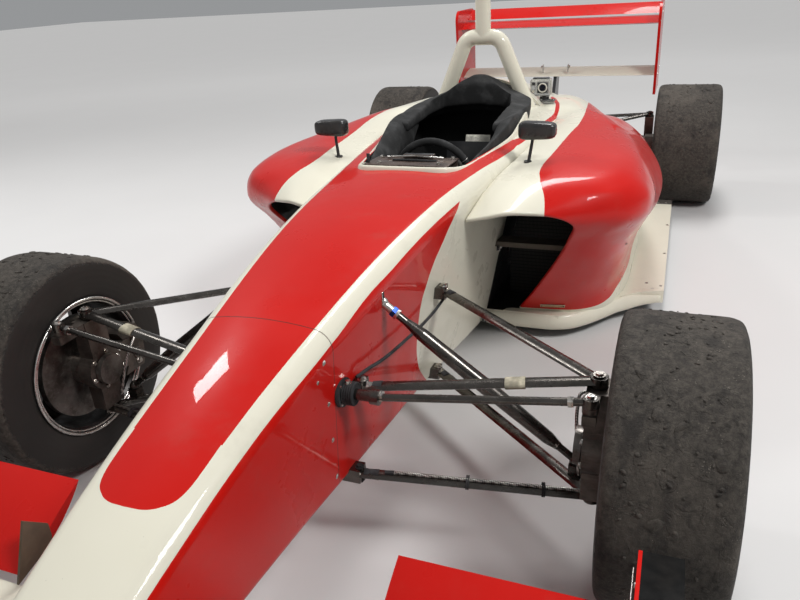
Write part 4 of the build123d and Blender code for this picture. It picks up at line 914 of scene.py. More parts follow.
# Section of the rim, as distance outwards and height
RIM_SECTION = ((-0.0065, -0.042), (-0.0068, -0.01), (-0.0058, -0.004), (-0.003, -0.0008), (0.0, 0.0),
    (0.0035, -0.001), (0.0065, -0.0045), (0.0082, -0.013), (0.011, -0.026), (0.012, -0.042))


def make_cockpit_rim():
    """Rounded rim that stands round the front of the opening and runs back beside the headrest."""
    path = [Vector((x, y, rim_top(y))) for x, y in rim_path()]
    rows = []
    for k, place in enumerate(path):
        ahead = path[min(k + 1, len(path) - 1)] - path[max(k - 1, 0)]
        out = Vector((-ahead.y, ahead.x, 0)).normalized()
        if out.dot(Vector((place.x, place.y - 1.0, 0))) < 0:
            out = -out
        wide = 1.0 if place.y < 0.95 else 0.75
        rows.append([car_point(*(place + out * u * wide + Vector((0, 0, v)))) for u, v in RIM_SECTION])
    rim = new_object("cockpit_rim_skin", skin_over("cockpit_rim_skin", rows, wrap=False), "chassis",
        "cockpit_edge")
    subdivide(rim, 1)
    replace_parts(rim, "cockpit_rim")


def softened(node, voxel, rounds, factor=0.5):
    """Copy of a node's mesh with its edges rounded like moulded foam."""
    source = bpy.data.objects.new("source", NODES[node].data.copy())
    bpy.context.scene.collection.objects.link(source)
    remesh = source.modifiers.new("remesh", "REMESH")
    remesh.mode = "VOXEL"
    remesh.voxel_size = voxel
    mesh = bpy.data.meshes.new_from_object(source.evaluated_get(bpy.context.evaluated_depsgraph_get()))
    bpy.data.objects.remove(source)
    bm = bmesh.new()
    bm.from_mesh(mesh)
    for _ in range(rounds):
        bmesh.ops.smooth_vert(bm, verts=bm.verts, factor=factor, use_axis_x=True, use_axis_y=True,
            use_axis_z=True)
    bm.to_mesh(mesh)
    bm.free()
    mesh.materials.clear()
    return mesh


def make_headrest():
    """Foam pad with soft edges, whose back rises to a point behind the head and whose arms lie low."""
    mesh = softened("headrest", 0.0055, 9)
    low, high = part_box("headrest")
    for vert in mesh.vertices:
        y = vert.co.y - FRONT_AXLE_Y
        vert.co.x *= float(np.interp(y, (1.05, 1.3, 1.47), (0.885, 0.9, 0.95)))
        top = float(np.interp(abs(vert.co.x), (0, 0.02, 0.065, 0.116, 0.17, 0.23),
            (0.781, 0.779, 0.758, 0.7215, 0.702, 0.69)))
        if vert.co.z > top:
            vert.co.z = top + (vert.co.z - top) * 0.06
        vert.co += vert.normal * (0.002 * noise.noise(vert.co * 7) + 0.0007 * noise.noise(vert.co * 31))
        vert.co = Vector([min(max(v, a), b) for v, a, b in zip(vert.co, low, high)])
    pad = new_object("headrest_pad", mesh, "chassis", "foam")
    relax = pad.modifiers.new("relax", "SMOOTH")
    relax.factor = 0.5
    relax.iterations = 4
    subdivide(pad, 1)
    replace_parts(pad, "headrest")


def make_side_pads():
    """Foam along the inside of the cockpit's walls, in front of the headrest's arms."""
    for sign, word in SIDES:
        rows = []
        for y in np.linspace(0.745, 1.24, 22):
            wall = opening_half(y) - 0.0015
            top = float(np.interp(y, (0.745, 0.8, 0.9, 1.0, 1.06, 1.12, 1.24),
                (0.628, 0.642, 0.66, 0.68, 0.694, 0.697, 0.69)))
            depth = float(np.interp(y, (0.745, 0.77, 0.88, 1.0, 1.05, 1.12, 1.24),
                (0.022, 0.044, 0.04, 0.053, 0.0585, 0.06, 0.04)))
            fall = float(np.interp(y, (0.745, 0.77, 1.0, 1.12, 1.24), (0.05, 0.085, 0.105, 0.11, 0.06)))
            swell = 1 + 0.05 * math.sin(9 * y)
            flat = float(np.interp(y, (0.86, 1.04), (0, 1)))
            section = [(0, -fall), (0, -0.004), (0.12, 0), (0.34, (-0.08 + 0.05 * flat) * fall),
                ((0.7 + 0.1 * flat) * swell, (-0.36 + 0.23 * flat) * fall), (1.0, (-0.72 + 0.26 * flat) * fall),
                (0.94, -0.97 * fall), (0.5, -1.06 * fall)]
            rows.append([car_point(sign * (wall - depth * u), y, top + v) for u, v in section])
        pad = new_object("side_pad_" + word, skin_over("side_pad_" + word, rows), "chassis", "foam")
        subdivide(pad, 2)


def make_cockpit_fittings():
    """Dash panel with its bolts, a display, and the belts' buckle plate on the seat."""
    kit = Kit("brown plastic steel label")
    kit.block("brown", (-0.004, 0.697, 0.6405), (0.246, 0.118, 0.004), axis=(0, 0.04, 1.0), bevel=0.0012)
    kit.block("brown", (-0.004, 0.757, 0.616), (0.236, 0.004, 0.046), bevel=0.0012)
    kit.block("plastic", (0.004, 0.742, 0.6475), (0.092, 0.022, 0.01), bevel=0.002)
    for x in (-0.112, -0.07, 0.068, 0.104):
        kit.bolt("steel", (x, 0.744, 0.641), (0, 0, 1), 0.0052, 0.005)
    for x in (-0.09, 0.086):
        kit.bolt("steel", (x, 0.668, 0.644), (0, 0, 1), 0.0052, 0.004)
    kit.rod("plastic", (-0.122, 0.664, 0.64), (-0.1225, 0.668, 0.668), 0.0042, 0.0052)
    kit.tube("steel", ((-0.088, 0.73, 0.645), (-0.05, 0.722, 0.649), (-0.01, 0.726, 0.65),
        (0.04, 0.722, 0.649), (0.08, 0.734, 0.644)), 0.0026)
    kit.tube("plastic", ((-0.06, 0.7, 0.644), (0.0, 0.692, 0.646), (0.07, 0.7, 0.643)), 0.0035)
    kit.tube("plastic", ((0.1, 0.69, 0.56), (0.12, 0.75, 0.52), (0.13, 0.84, 0.47), (0.12, 0.92, 0.4)), 0.006)
    kit.tube("plastic", ((-0.1, 0.69, 0.56), (-0.13, 0.76, 0.53), (-0.135, 0.86, 0.47)), 0.0045)
    kit.block("label", (-0.002, 1.414, 0.552), (0.096, 0.034, 0.003), axis=(0, -0.95, 0.3))
    for x in (-0.055, 0.055):
        kit.block("plastic", (x, 1.36, 0.44), (0.045, 0.15, 0.003), axis=(0, -0.93, 0.36), bevel=0.001)
        kit.block("steel", (x, 1.352, 0.475), (0.05, 0.028, 0.007), axis=(0, -0.93, 0.36))
    kit.finish("cockpit_fittings", "chassis")


def make_steering_wheel():
    """Wheel with suede grips, a composite plate with knobs and buttons, and its column."""
    grip = 0.118
    hub = car_point(0, 0.88, 0.545)
    start = car_point(0, -0.124, 0.398)
    axis = (hub - start).normalized()
    side = Vector((1, 0, 0))
    up = axis.cross(side).normalized()
    if up.z < 0:
        up = -up
    kit = Kit("foam composite plastic steel red blue")
    kit.ring("foam", hub, axis, grip, 0.0112, around=96, sides=16)
    for word in (1, -1):
        for a0 in (-0.55, -0.18, 0.18, 0.55):
            a = a0 if word > 0 else math.pi - a0
            place = hub + grip * (math.cos(a) * side + math.sin(a) * up)
            along_rim = -math.sin(a) * side + math.cos(a) * up
            kit.ring("steel", place, along_rim, 0.0113, 0.0008, around=24, sides=6)
    kit.block("composite", hub + axis * 0.001, (0.216, 0.072, 0.006), axis=axis, bevel=0.002)
    kit.block("plastic", hub + axis * 0.008 + up * 0.012, (0.062, 0.028, 0.01), axis=axis, bevel=0.002)
    for x in (-0.082, -0.06, 0.06, 0.082):
        kit.rod("red" if x > 0 else "blue", hub + side * x + up * 0.016,
                hub + side * x + up * 0.016 + axis * 0.01, 0.0055, 0.0048)
        kit.rod("plastic", hub + side * x - up * 0.016, hub + side * x - up * 0.016 + axis * 0.008, 0.005,
                0.0045)
    kit.rod("steel", hub - axis * 0.016, hub + axis * 0.012, 0.031, 0.029, sides=48)
    for k in range(6):
        a = math.pi * k / 3
        place = hub + axis * 0.012 + 0.021 * (math.cos(a) * side + math.sin(a) * up)
        kit.bolt("steel", place, axis, 0.003, 0.0025)
    kit.rod("steel", start + axis * 0.034, hub - axis * 0.015, 0.009, sides=32)
    wheel = kit.finish("steering_wheel_skin", "steering_wheel")
    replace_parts(wheel, "steering_wheel")


def make_mirrors():
    """Rounded black housings with glass towards the driver, on slanted stalks with a base nut."""
    for sign, word in SIDES:
        bm = bmesh.new()
        bmesh.ops.create_cube(bm, size=1)
        bmesh.ops.subdivide_edges(bm, edges=bm.edges, cuts=5, use_grid_fill=True)
        for vert in bm.verts:
            u, v, w = vert.co * 2
            power = 6.0
            size = (abs(u)**power + abs(v)**power + abs(w)**power) ** (1 / power)
            shape = Vector((u, v, w)) / size
            thick = 1.0 - 0.1 * shape.x * sign
            vert.co = Vector((shape.x * 0.053, shape.y * 0.0245 - 0.0005, shape.z * 0.0242 * thick))
        place = car_point(sign * 0.322, 0.852, 0.702)
        for face in bm.faces:
            face.normal_update()
            centre = face.calc_center_median()
            face.material_index = 1 if face.normal.y > 0.93 and abs(centre.x) < 0.046 else 0
        for vert in bm.verts:
            vert.co += place
        mesh = mesh_from_bmesh("mirror_shell_" + word, bm)
        shell = new_object("mirror_shell_" + word, mesh, "chassis", "gloss", "glass")
        subdivide(shell, 1)
        kit = Kit("gloss")
        foot = car_point(sign * 0.2985, 0.8375, 0.6)
        neck = car_point(sign * 0.3105, 0.8485, 0.683)
        kit.rod("gloss", foot, neck, 0.0052, 0.0042)
        kit.rod("gloss", foot, foot + (neck - foot) * 0.16, 0.0075, 0.006, sides=6)
        kit.rod("gloss", foot - Vector((0, 0, 0.004)), foot + Vector((0, 0, 0.018)), 0.013, 0.011, sides=32)
        kit.ball("gloss", neck, 0.0075)
        kit.finish("mirror_stalk_" + word, "chassis")
        if word == "left":
            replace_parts(shell, "mirrors")


def make_onboard_camera():
    """Small camera in a clear housing with a black frame, latch and clamp beside the roll hoop."""
    low, high = (corner - car_point(0, 0, 0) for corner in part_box("onboard_camera"))
    foot = (low + high) / 2
    kit = Kit("clear plastic lens_black steel clamp")
    x, y, top = foot.x - 0.034, foot.y, high.z + 0.018
    kit.block("clear", (x, y, top - 0.034), (0.076, 0.032, 0.062), bevel=0.005)
    kit.block("plastic", (x + 0.008, y - 0.0142, top - 0.034), (0.044, 0.0065, 0.044), bevel=0.003)
    kit.ring("clamp", (x + 0.008, y - 0.0176, top - 0.034), (0, 1, 0), 0.015, 0.0026, around=48)
    kit.rod("lens_black", (x + 0.008, y - 0.019, top - 0.034), (x + 0.008, y - 0.01, top - 0.034), 0.0135,
            sides=40)
    kit.block("plastic", (x - 0.026, y - 0.015, top - 0.02), (0.014, 0.004, 0.012), bevel=0.001)
    kit.rod("steel", (x - 0.026, y - 0.0172, top - 0.048), (x - 0.026, y - 0.013, top - 0.048), 0.0045)
    kit.block("plastic", (x, y, top - 0.002), (0.06, 0.024, 0.005), bevel=0.001)
    kit.block("clamp", (x - 0.0375, y, top - 0.034), (0.004, 0.026, 0.05), bevel=0.001)
    kit.block("clamp", (x + 0.0375, y, top - 0.034), (0.004, 0.026, 0.05), bevel=0.001)
    kit.rod("plastic", (x - 0.004, y, low.z + 0.014), (x + 0.03, y, low.z + 0.014), 0.005)
    kit.block("plastic", (x + 0.014, y, low.z + 0.012), (0.018, 0.018, 0.022))
    kit.block("plastic", (foot.x - 0.012, y, low.z + 0.004), (0.062, 0.034, 0.007), bevel=0.002)
    for dx in (-0.03, 0.006):
        kit.bolt("steel", (foot.x + dx, low.y + 0.006, low.z + 0.0075), (0, 0, 1), 0.0028, 0.003)
    piece = kit.finish("onboard_camera_skin", "chassis")
    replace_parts(piece, "onboard_camera")


# Suspension and body details

# Distance of the front ball joints from the middle, and heights of the front and rear axles
KINGPIN_X = 0.6
FRONT_AXLE_Z = 0.275
REAR_AXLE_Z = 0.285


def leg_point(foot, apex, t):
    return Vector(foot).lerp(Vector(apex), t)


def foot_at(y, z):
    return car_point(body_side(y, z) + 0.024, y, z)


def make_front_suspension_details():
    """Bolts, rod ends, boots, ties, tape and pipes of the front suspension, on both sides."""
    kit = Kit("steel plastic blue tape braid")
    upper, lower = car_point(KINGPIN_X, 0, 0.423), car_point(KINGPIN_X, 0, 0.16)
    feet = {"uf": foot_at(-0.075, 0.385), "ur": foot_at(0.363, 0.403), "lf": foot_at(-0.092, 0.183),
            "lr": foot_at(0.395, 0.152)}
    for name, foot in feet.items():
        apex = upper if name[0] == "u" else lower
        out = (apex - foot).normalized()
        for end in (1, -1):
            kit.bolt("plastic" if name == "lf" else "steel", foot + Vector((-0.006, 0, end * 0.015)),
                (0, 0, end), 0.007, 0.0065)
        kit.rod("plastic" if name == "lf" else "steel", foot + out * 0.004, foot + out * 0.016, 0.0125, 0.0105,
                sides=6)
        kit.rod("plastic", foot + out * 0.016, foot + out * 0.034, 0.0105, 0.0115, sides=24)
    foot = feet["uf"]
    kit.sleeve("tape", leg_point(foot, upper, 0.615), leg_point(foot, upper, 0.7), 0.0345, 0.0185)
    for t in (0.463, 0.471, 0.79, 0.798):
        kit.sleeve("plastic", leg_point(feet["lf"], lower, t) + Vector((0, -0.001, 0.003)),
            leg_point(feet["lf"], lower, t + 0.006) + Vector((0, -0.001, 0.003)), 0.035, 0.025)
    hose = [leg_point(feet["lf"], lower, t) + Vector((0, -0.002, 0.0105 + 0.0012 * math.sin(37 * t)))
        for t in np.linspace(0.13, 0.95, 12)]
    kit.tube("braid", hose, 0.0034, steps=4)
    kit.rod("plastic", hose[0] - (hose[1] - hose[0]) * 0.35, hose[0] + (hose[1] - hose[0]) * 0.2, 0.0052,
            sides=6)
    kit.tube("plastic", ((0.188, 0.372, 0.384), (0.183, 0.3, 0.377), (0.174, 0.12, 0.388), (0.166, 0.0, 0.402),
        (0.16, -0.055, 0.412), (0.15, -0.085, 0.41)), 0.0036, steps=5)
    outer, inner = car_point(0.56, 0.055, 0.196), car_point(0.15, 0.05, 0.518)
    for material, t0, t1, radius, end_radius, sides in (("steel", 0.03, 0.07, 0.0086, 0.0086, 20),
            ("blue", 0.07, 0.088, 0.0125, 0.0125, 6), ("steel", 0.088, 0.1, 0.011, 0.0125, 20),
            ("steel", 0.875, 0.905, 0.011, 0.011, 6)):
        kit.rod(material, inner.lerp(outer, t0), inner.lerp(outer, t1), radius, end_radius, sides)
    kit.ball("steel", inner.lerp(outer, 0.022), 0.0125, squash=(1, 0.72, 1))
    slot = car_point(body_side(0.046, 0.522) + 0.0004, 0.046, 0.522)
    kit.block("plastic", slot, (0.0022, 0.011, 0.03), bevel=0.001)
    boot_x = body_side(-0.124, 0.398)
    kit.rod("plastic", (boot_x - 0.001, -0.124, 0.398), (boot_x + 0.006, -0.124, 0.398), 0.03, 0.029, sides=40)
    for k in range(5):
        kit.ring("plastic", (boot_x + 0.009 + 0.0046 * k, -0.124, 0.398), (1, 0, 0), 0.0212, 0.0024, around=40,
            sides=8)
    for a in (0.6, 2.2, 3.9, 5.4):
        kit.bolt("steel", (boot_x + 0.005, -0.124 + 0.025 * math.cos(a), 0.398 + 0.025 * math.sin(a)),
            (1, 0, 0), 0.0032, 0.003)
    kit.bolt("steel", (boot_x + 0.014, -0.124, 0.4195), (0, 0, 1), 0.0055, 0.006)
    for y, z in ((-0.183, 0.494), (-0.207, 0.466), (-0.174, 0.401), (-0.166, 0.314), (-0.158, 0.22)):
        kit.bolt("steel", (body_side(-0.15, z) + (y + 0.15) * 0.091 + 0.0002, y, z), (1, 0, -0.08), 0.0042,
            0.0016, sides=16)
    kit.mirror()
    kit.finish("front_suspension_details", "chassis")


def make_knuckle_details():
    """Bolt heads, caliper pistons and a hose fitting on each front upright, and nuts on the track rods."""
    for sign, word in SIDES:
        kit = Kit("steel upright braid")
        inner_x = sign * 0.58
        for k in range(6):
            a = math.pi * k / 3 + 0.3
            kit.bolt("steel", (inner_x, 0.0445 * math.cos(a), FRONT_AXLE_Z + 0.0445 * math.sin(a)),
                (-sign, 0, 0), 0.0045, 0.005)
        for dz in (-0.042, 0.042):
            kit.bolt("steel", (sign * 0.588, 0.118, FRONT_AXLE_Z + dz), (-sign, 0, 0), 0.0065, 0.007)
            kit.bolt("steel", (sign * 0.584, 0.06, FRONT_AXLE_Z + dz * 0.6), (-sign, 0, 0), 0.006, 0.006)
        for dz in (-0.02, 0.02):
            kit.rod("upright", (sign * 0.589, 0.12, FRONT_AXLE_Z + dz),
                    (sign * 0.584, 0.12, FRONT_AXLE_Z + dz), 0.0165, 0.015, sides=32)
        kit.rod("steel", (sign * 0.588, 0.108, 0.332), (sign * 0.574, 0.108, 0.332), 0.0055, sides=6)
        hose = ((0.574, 0.108, 0.332), (0.56, 0.1, 0.33), (0.556, 0.075, 0.31), (0.56, 0.045, 0.27),
            (0.566, 0.025, 0.22), (0.572, 0.018, 0.19))
        kit.tube("braid", [(sign * x, y, z) for x, y, z in hose], 0.0036, steps=6)
        for z in (0.4365, 0.1465):
            up = 1 if z > 0.3 else -1
            kit.bolt("steel", (sign * KINGPIN_X, 0, z - up * 0.0005), (0, 0, up), 0.0085, 0.0045)
        kit.finish("knuckle_details_" + word, "knuckle_" + word)
    kit = Kit("steel")
    for sign in (1, -1):
        kit.bolt("steel", (sign * 0.595, -0.09, 0.4405), (0, 0, 1), 0.0075, 0.006)
        inner, outer = car_point(sign * 0.2, -0.1225, 0.3985), car_point(sign * 0.58, -0.0925, 0.431)
        kit.rod("steel", inner.lerp(outer, 0.03), inner.lerp(outer, 0.055), 0.0108, sides=6)
        kit.rod("steel", inner.lerp(outer, 0.94), inner.lerp(outer, 0.965), 0.0108, sides=6)
    kit.finish("track_rod_details", "rack")


def make_wheel_details():
    """Bright double lip rings and a valve on each wheel."""
    for end, axle_y, radius in (("front", 0.0, FRONT_AXLE_Z), ("rear", WHEELBASE, REAR_AXLE_Z)):
        for sign, word in SIDES:
            low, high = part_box(f"{end}_rim_{word}")
            kit = Kit("bright plastic")
            for x, inward in ((low.x, 1), (high.x, -1)):
                kit.ring("bright", (x + inward * 0.0008, axle_y, radius), (1, 0, 0), 0.1716, 0.0036, around=144)
                kit.ring("bright", (x + inward * 0.004, axle_y, radius), (1, 0, 0), 0.164, 0.0022, around=144)
            outer_x = high.x if sign > 0 else low.x
            kit.rod("plastic", (outer_x - sign * 0.045, axle_y, radius + 0.15),
                    (outer_x - sign * 0.02, axle_y, radius + 0.152), 0.0032, 0.0028)
            kit.finish(f"{end}_rim_details_{word}", f"wheel_{end}_{word}")


def make_wing_details():
    """Rivets and adjusters of the front wing, a thin bright rod along its end plate's top edge as a painted
    highlight, and screws of the floor and rear wing.
    """
    kit = Kit("steel plastic upright clamp")
    for y, z in ((-0.4, 0.312), (-0.36, 0.312), (-0.4, 0.275), (-0.45, 0.318), (-0.52, 0.316)):
        kit.bolt("steel", (0.6952, y, z), (-1, 0, 0), 0.0042, 0.0018, sides=16)
    kit.rod("steel", (0.688, -0.372, 0.285), (0.69, -0.412, 0.205), 0.0045)
    for p in ((0.688, -0.372, 0.285), (0.69, -0.412, 0.205)):
        kit.ball("steel", p, 0.0075, squash=(0.7, 1, 1))
        kit.bolt("steel", (p[0] - 0.004, p[1], p[2]), (-1, 0, 0), 0.0048, 0.004)
    # Thin bright steel rod along the end plate's top edge: a painted highlight where that edge catches the
    # light
    kit.rod("steel", (0.6905, -0.366, 0.3496), (0.6905, -0.585, 0.3496), 0.0009)
    kit.bolt("upright", (0.0645, -0.665, 0.175), (1, 0, 0), 0.0065, 0.005)
    kit.bolt("upright", (0.0645, -0.77, 0.16), (1, 0, 0), 0.0065, 0.005)
    for x, y in ((0.662, 1.243), (0.688, 1.275), (0.64, 1.29), (0.69, 1.6), (0.69, 1.95), (0.675, 2.28),
            (0.64, 2.275)):
        kit.bolt("steel", (x, y, 0.0798), (0, 0, 1), 0.0045, 0.0018, sides=16)
    kit.block("clamp", (0.071, 3.15, 0.59), (0.005, 0.03, 0.044))
    kit.bolt("steel", (0.071, 3.146, 0.6), (1, 0, 0), 0.0065, 0.012)
    for y, z in ((3.06, 0.83), (3.2, 0.87), (3.34, 0.89), (3.14, 0.555), (3.3, 0.575)):
        kit.bolt("steel", (0.5588, y, z), (1, 0, 0), 0.0055, 0.0025, sides=16)
    kit.mirror()
    kit.finish("wing_details", "chassis")


def make_floor_lip():
    """Rounded white lip along the front edge of the floor and out to its side plate."""
    line = smooth_line([(0.15, 0.936, 0), (0.3, 0.935, 0), (0.372, 0.938, 0), (0.42, 0.956, 0),
        (0.468, 0.999, 0), (0.512, 1.055, 0), (0.562, 1.124, 0), (0.604, 1.162, 0), (0.64, 1.184, 0),
        (0.69, 1.203, 0)], 5)
    for sign, word in SIDES:
        rows = []
        for k, place in enumerate(line):
            ahead = line[min(k + 1, len(line) - 1)] - line[max(k - 1, 0)]
            out = Vector((ahead.y, -ahead.x, 0)).normalized()
            tail = max(0.0, (k - 33) / (len(line) - 34)) if k > 33 else 0.0
            high, deep = 0.0268 - 0.0135 * tail, 0.0125 - 0.006 * tail
            ring = []
            for a in angles(16):
                edge = place + out * (deep * math.cos(a))
                ring.append(car_point(sign * edge.x, edge.y, 0.0622 + high * math.sin(a)))
            rows.append(ring)
        new_object("floor_lip_" + word, skin_over("floor_lip_" + word, rows), "chassis", "white")


def make_inlet_details():
    """Small brackets where the stay meets the tub, and the bare plate at the foot of the flank."""
    kit = Kit("steel plastic tan")
    for z in (0.35, 0.1):
        x = body_side(0.885, z)
        kit.block("plastic", (x + 0.006, 0.875, z - 0.012), (0.012, 0.03, 0.022))
        kit.bolt("steel", (x + 0.012, 0.868, z - 0.012), (1, 0, 0), 0.0045, 0.004)
    facing = Vector((0.13, -0.78, -0.61)).normalized()
    centre = car_point(0.366, 0.945, 0.119) + facing * 0.002
    kit.block("tan", centre, (0.078, 0.017, 0.0018), axis=facing, bevel=0.0006)
    for dx in (-0.034, 0.034):
        kit.bolt("plastic", centre + Vector((dx, dx * 0.16, 0)) + facing * 0.001, facing, 0.002, 0.0012,
            sides=12)
    kit.mirror()
    kit.finish("inlet_details", "chassis")


def make_rear_details():
    """Bolts on the gearbox and crash box, and the rear suspension's ends."""
    kit = Kit("steel plastic")
    for y in (2.32, 2.52, 2.72, 2.86):
        for z in (0.215, 0.35):
            kit.bolt("steel", (0.1052, y, z), (1, 0, 0), 0.0065, 0.006)
    for y, z in ((2.37, 0.372), (2.8, 0.372), (2.33, 0.16), (2.8, 0.16)):
        foot = car_point(0.129, y, z)
        apex = car_point(0.556, 2.62, 0.43 if z > 0.3 else 0.16)
        out = (apex - foot).normalized()
        for end in (1, -1):
            kit.bolt("steel", foot + Vector((-0.006, 0, end * 0.015)), (0, 0, end), 0.007, 0.0065)
        kit.rod("steel", foot + out * 0.004, foot + out * 0.016, 0.0125, 0.0105, sides=6)
        kit.rod("plastic", foot + out * 0.016, foot + out * 0.034, 0.0105, 0.0115, sides=24)
    inner, outer = car_point(0.1, 2.52, 0.37), car_point(0.496, 2.608, 0.19)
    for t in (0.1, 0.88):
        kit.rod("steel", inner.lerp(outer, t), inner.lerp(outer, t + 0.03), 0.0125, sides=6)
    for x, z in ((0.06, 0.345), (0.06, 0.275), (0.02, 0.365)):
        kit.bolt("steel", (x, 3.262, z), (0, 1, 0), 0.005, 0.004)
    kit.mirror()
    kit.ring("steel", (0, 2.8395, 0.452), (0, 1, 0), 0.0285, 0.0014, around=48)
    kit.finish("rear_details", "chassis")


# Tyres

def tyre_profile(half, radius, bead):
    """Half of a tyre's outline from its bead over the shoulder to the middle, as (across, reach)."""
    return (
        (half - 0.016, bead), (half - 0.005, bead + 0.01), (half - 0.001, bead + 0.03), (half, bead + 0.052),
        (half - 0.001, radius - 0.03), (half - 0.0035, radius - 0.015), (half - 0.01, radius - 0.0055),
        (half - 0.022, radius - 0.0012), (half * 0.6, radius), (0.0, radius),
    )


def make_tyre(name, finish, body, low, high, bead, seed):
    """Slick with rounded shoulders and a slightly torn tread."""
    centre = (low + high) / 2
    half = (high.x - low.x) / 2
    radius = (high.z - low.z) / 2
    line = smooth_line([Vector((u, r)) for u, r in tyre_profile(half, radius, bead)], 3)
    line = [Vector((-p.x, p.y)) for p in line] + [p for p in reversed(line[:-1])]
    around = 120
    points = []
    for a in angles(around):
        for p in line:
            worn = 0.0
            if p.y > radius - 0.03:
                worn = 0.001 * (noise.noise(Vector((p.x * 30, math.cos(a) * 9, math.sin(a) * 9 + seed))) - 0.6)
            r = min(p.y + worn, radius)
            points.append(centre + Vector((p.x, r * math.cos(a), r * math.sin(a))))
    mesh = mesh_from(name, points, grid_faces(around, len(line), wrap_rows=True))
    face_outwards(mesh)
    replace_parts(new_object(name, mesh, body, finish), name.replace("_skin", ""))


def make_lumps(name, finish, body, low, high, seed, count=240):
    """Bits of rubber picked up by the tread, most of them small and a few rolled into ragged lumps."""
    maker = random.Random(seed)
    centre = (low + high) / 2
    half = (high.x - low.x) / 2
    radius = (high.z - low.z) / 2
    bm = bmesh.new()
    for k in range(count):
        size = maker.choice((0.0025, 0.0035, 0.0045, 0.006)) if k > 26 else maker.uniform(0.009, 0.019)
        u = maker.uniform(-0.8, 0.8) * (half - 0.012)
        a = maker.uniform(0, 2 * math.pi)
        out = Vector((0, math.cos(a), math.sin(a)))
        drop = 0.0 if abs(u) < half - 0.036 else 0.003
        place = centre + Vector((u, 0, 0)) + out * (radius - drop - size * 0.35)
        spin = Matrix.Rotation(maker.uniform(0, 6.28), 4, "Z")
        turn = out.to_track_quat("Z", "Y").to_matrix().to_4x4() @ spin
        shape = Matrix.Diagonal((maker.uniform(0.7, 1.6), maker.uniform(0.5, 1.0), 0.45, 1))
        made = bmesh.ops.create_icosphere(bm, subdivisions=2 if size > 0.006 else 1, radius=size,
            matrix=Matrix.Translation(place) @ turn @ shape)
        for vert in made["verts"]:
            vert.co += noise.noise_vector(vert.co * (1.1 / size)) * size * 0.42
            reach = Vector((0, *(vert.co - centre).yz)).length
            if reach > radius - 0.0002:
                vert.co -= out * (reach - radius + 0.0002)
    new_object(name, mesh_from_bmesh(name, bm), body, finish)


def make_wheels():
    seed = 3
    for end, finish in (("front", "front_tyre"), ("rear", "rear_tyre")):
        for side in ("left", "right"):
            node = f"{end}_tyre_{side}"
            rim_low, rim_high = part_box(f"{end}_rim_{side}")
            bead = (rim_high.z - rim_low.z) / 2 - 0.011
            low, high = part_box(node)
            body = f"wheel_{end}_{side}"
            shrink = Vector((0, 0.0016, 0.0016))
            make_tyre(node + "_skin", finish, body, low + shrink, high - shrink, bead, seed)
            make_lumps(node + "_pickup", finish, body, low, high, seed)
            seed += 1


# Camera, floor and light

def make_camera():
    flat = math.cos(CAMERA_ELEVATION)
    look = Vector((math.sin(CAMERA_AZIMUTH) * flat, math.cos(CAMERA_AZIMUTH) * flat,
        math.sin(CAMERA_ELEVATION)))
    right = look.cross(Vector((0, 0, 1))).normalized()
    up = right.cross(look)
    turned_right = math.cos(CAMERA_ROLL) * right + math.sin(CAMERA_ROLL) * up
    turned_up = -math.sin(CAMERA_ROLL) * right + math.cos(CAMERA_ROLL) * up
    data = bpy.data.cameras.new("camera")
    data.sensor_width = SENSOR_WIDTH
    data.sensor_fit = "HORIZONTAL"
    data.lens = SENSOR_WIDTH * FOCAL_PIXELS / PHOTO_WIDTH
    data.clip_start = 0.02
    camera = bpy.data.objects.new("camera", data)
    axes = Matrix((turned_right, turned_up, -look)).transposed().to_4x4()
    camera.matrix_world = Matrix.Translation(CAMERA_PLACE) @ axes
    bpy.context.scene.collection.objects.link(camera)
    bpy.context.scene.camera = camera


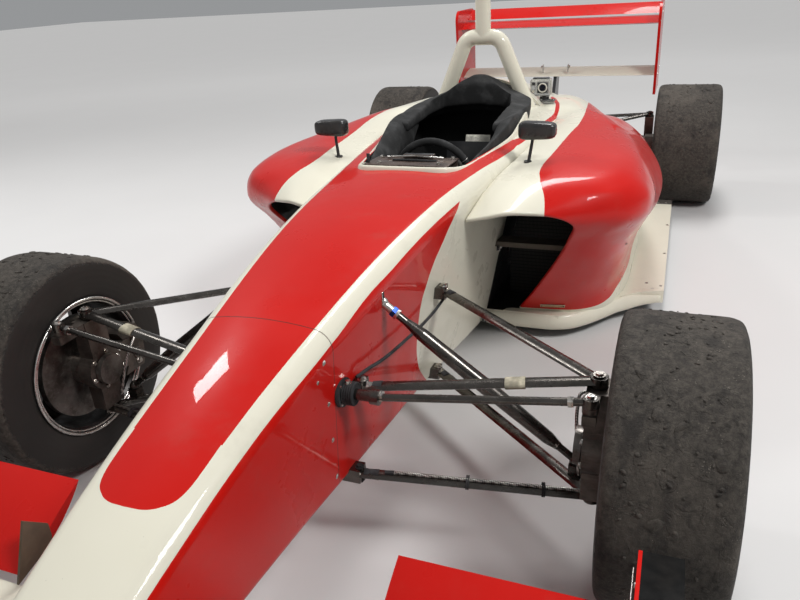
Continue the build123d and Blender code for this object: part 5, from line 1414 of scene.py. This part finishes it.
def make_floor():
    mesh = bpy.data.meshes.new("floor")
    size = 30
    mesh.from_pydata([(-size, -size, 0), (size, -size, 0), (size, size, 0), (-size, size, 0)], [],
        [(0, 1, 2, 3)])
    floor = bpy.data.objects.new("studio_floor", mesh)
    bpy.context.scene.collection.objects.link(floor)
    finish = Finish("studio_floor", (0.62, 0.61, 0.6), 0.65)
    finish.colour(finish.mix((0.62, 0.61, 0.6), (0.58, 0.57, 0.56), finish.noise(1.5, 4)))
    x, y, _ = finish.axes()
    far = (x * x + y * y).op("SQRT").ramp(3.0, 9.0)
    ray = finish.tree.nodes.new("ShaderNodeLightPath")
    seen = Field(finish.tree, ray.outputs["Is Camera Ray"])
    for word in ("Is Glossy Ray", "Is Transmission Ray"):
        seen = seen.either(Field(finish.tree, ray.outputs[word]))
    finish.shader.inputs["Emission Color"].default_value = (0.62, 0.61, 0.6, 1)
    finish.tree.links.new((far * seen * 0.5).socket, finish.shader.inputs["Emission Strength"])
    mesh.materials.append(finish.material)


def area_light(name, place, target, size, power):
    data = bpy.data.lights.new(name, "AREA")
    data.shape = "RECTANGLE"
    data.size, data.size_y = size
    data.energy = power
    light = bpy.data.objects.new(name, data)
    light.location = place
    light.rotation_euler = (Vector(target) - Vector(place)).to_track_quat("-Z", "Y").to_euler()
    bpy.context.scene.collection.objects.link(light)
    return light


def make_lights():
    area_light("key", (3.0, -1.8, 3.8), (0, 0, 0.3), (1.1, 1.1), 150)
    area_light("top", (0.4, 2.2, 4.8), (0, 0.3, 0.3), (0.9, 3.0), 150)
    area_light("patch", (-2.95, 0.5, 4.05), (0, -1.4, 0.5), (0.55, 0.55), 32)
    fill = area_light("fill", (-4.2, -0.8, 3.0), (0, 0, 0.3), (2.4, 2.6), 95)
    fill.visible_glossy = False
    world = bpy.data.worlds.new("studio")
    bpy.context.scene.world = world
    world.use_nodes = True
    world.node_tree.nodes["Background"].inputs["Color"].default_value = (0.88, 0.9, 0.92, 1)
    world.node_tree.nodes["Background"].inputs["Strength"].default_value = 0.34


make_camera()
make_floor()
make_lights()
dress_nodes()
make_sidepods()
make_cockpit_rim()
make_headrest()
make_side_pads()
make_cockpit_fittings()
make_steering_wheel()
make_mirrors()
make_onboard_camera()
make_front_suspension_details()
make_knuckle_details()
make_wheel_details()
make_wing_details()
make_floor_lip()
make_inlet_details()
make_rear_details()
make_wheels()
bpy.context.scene.view_settings.view_transform = "Standard"
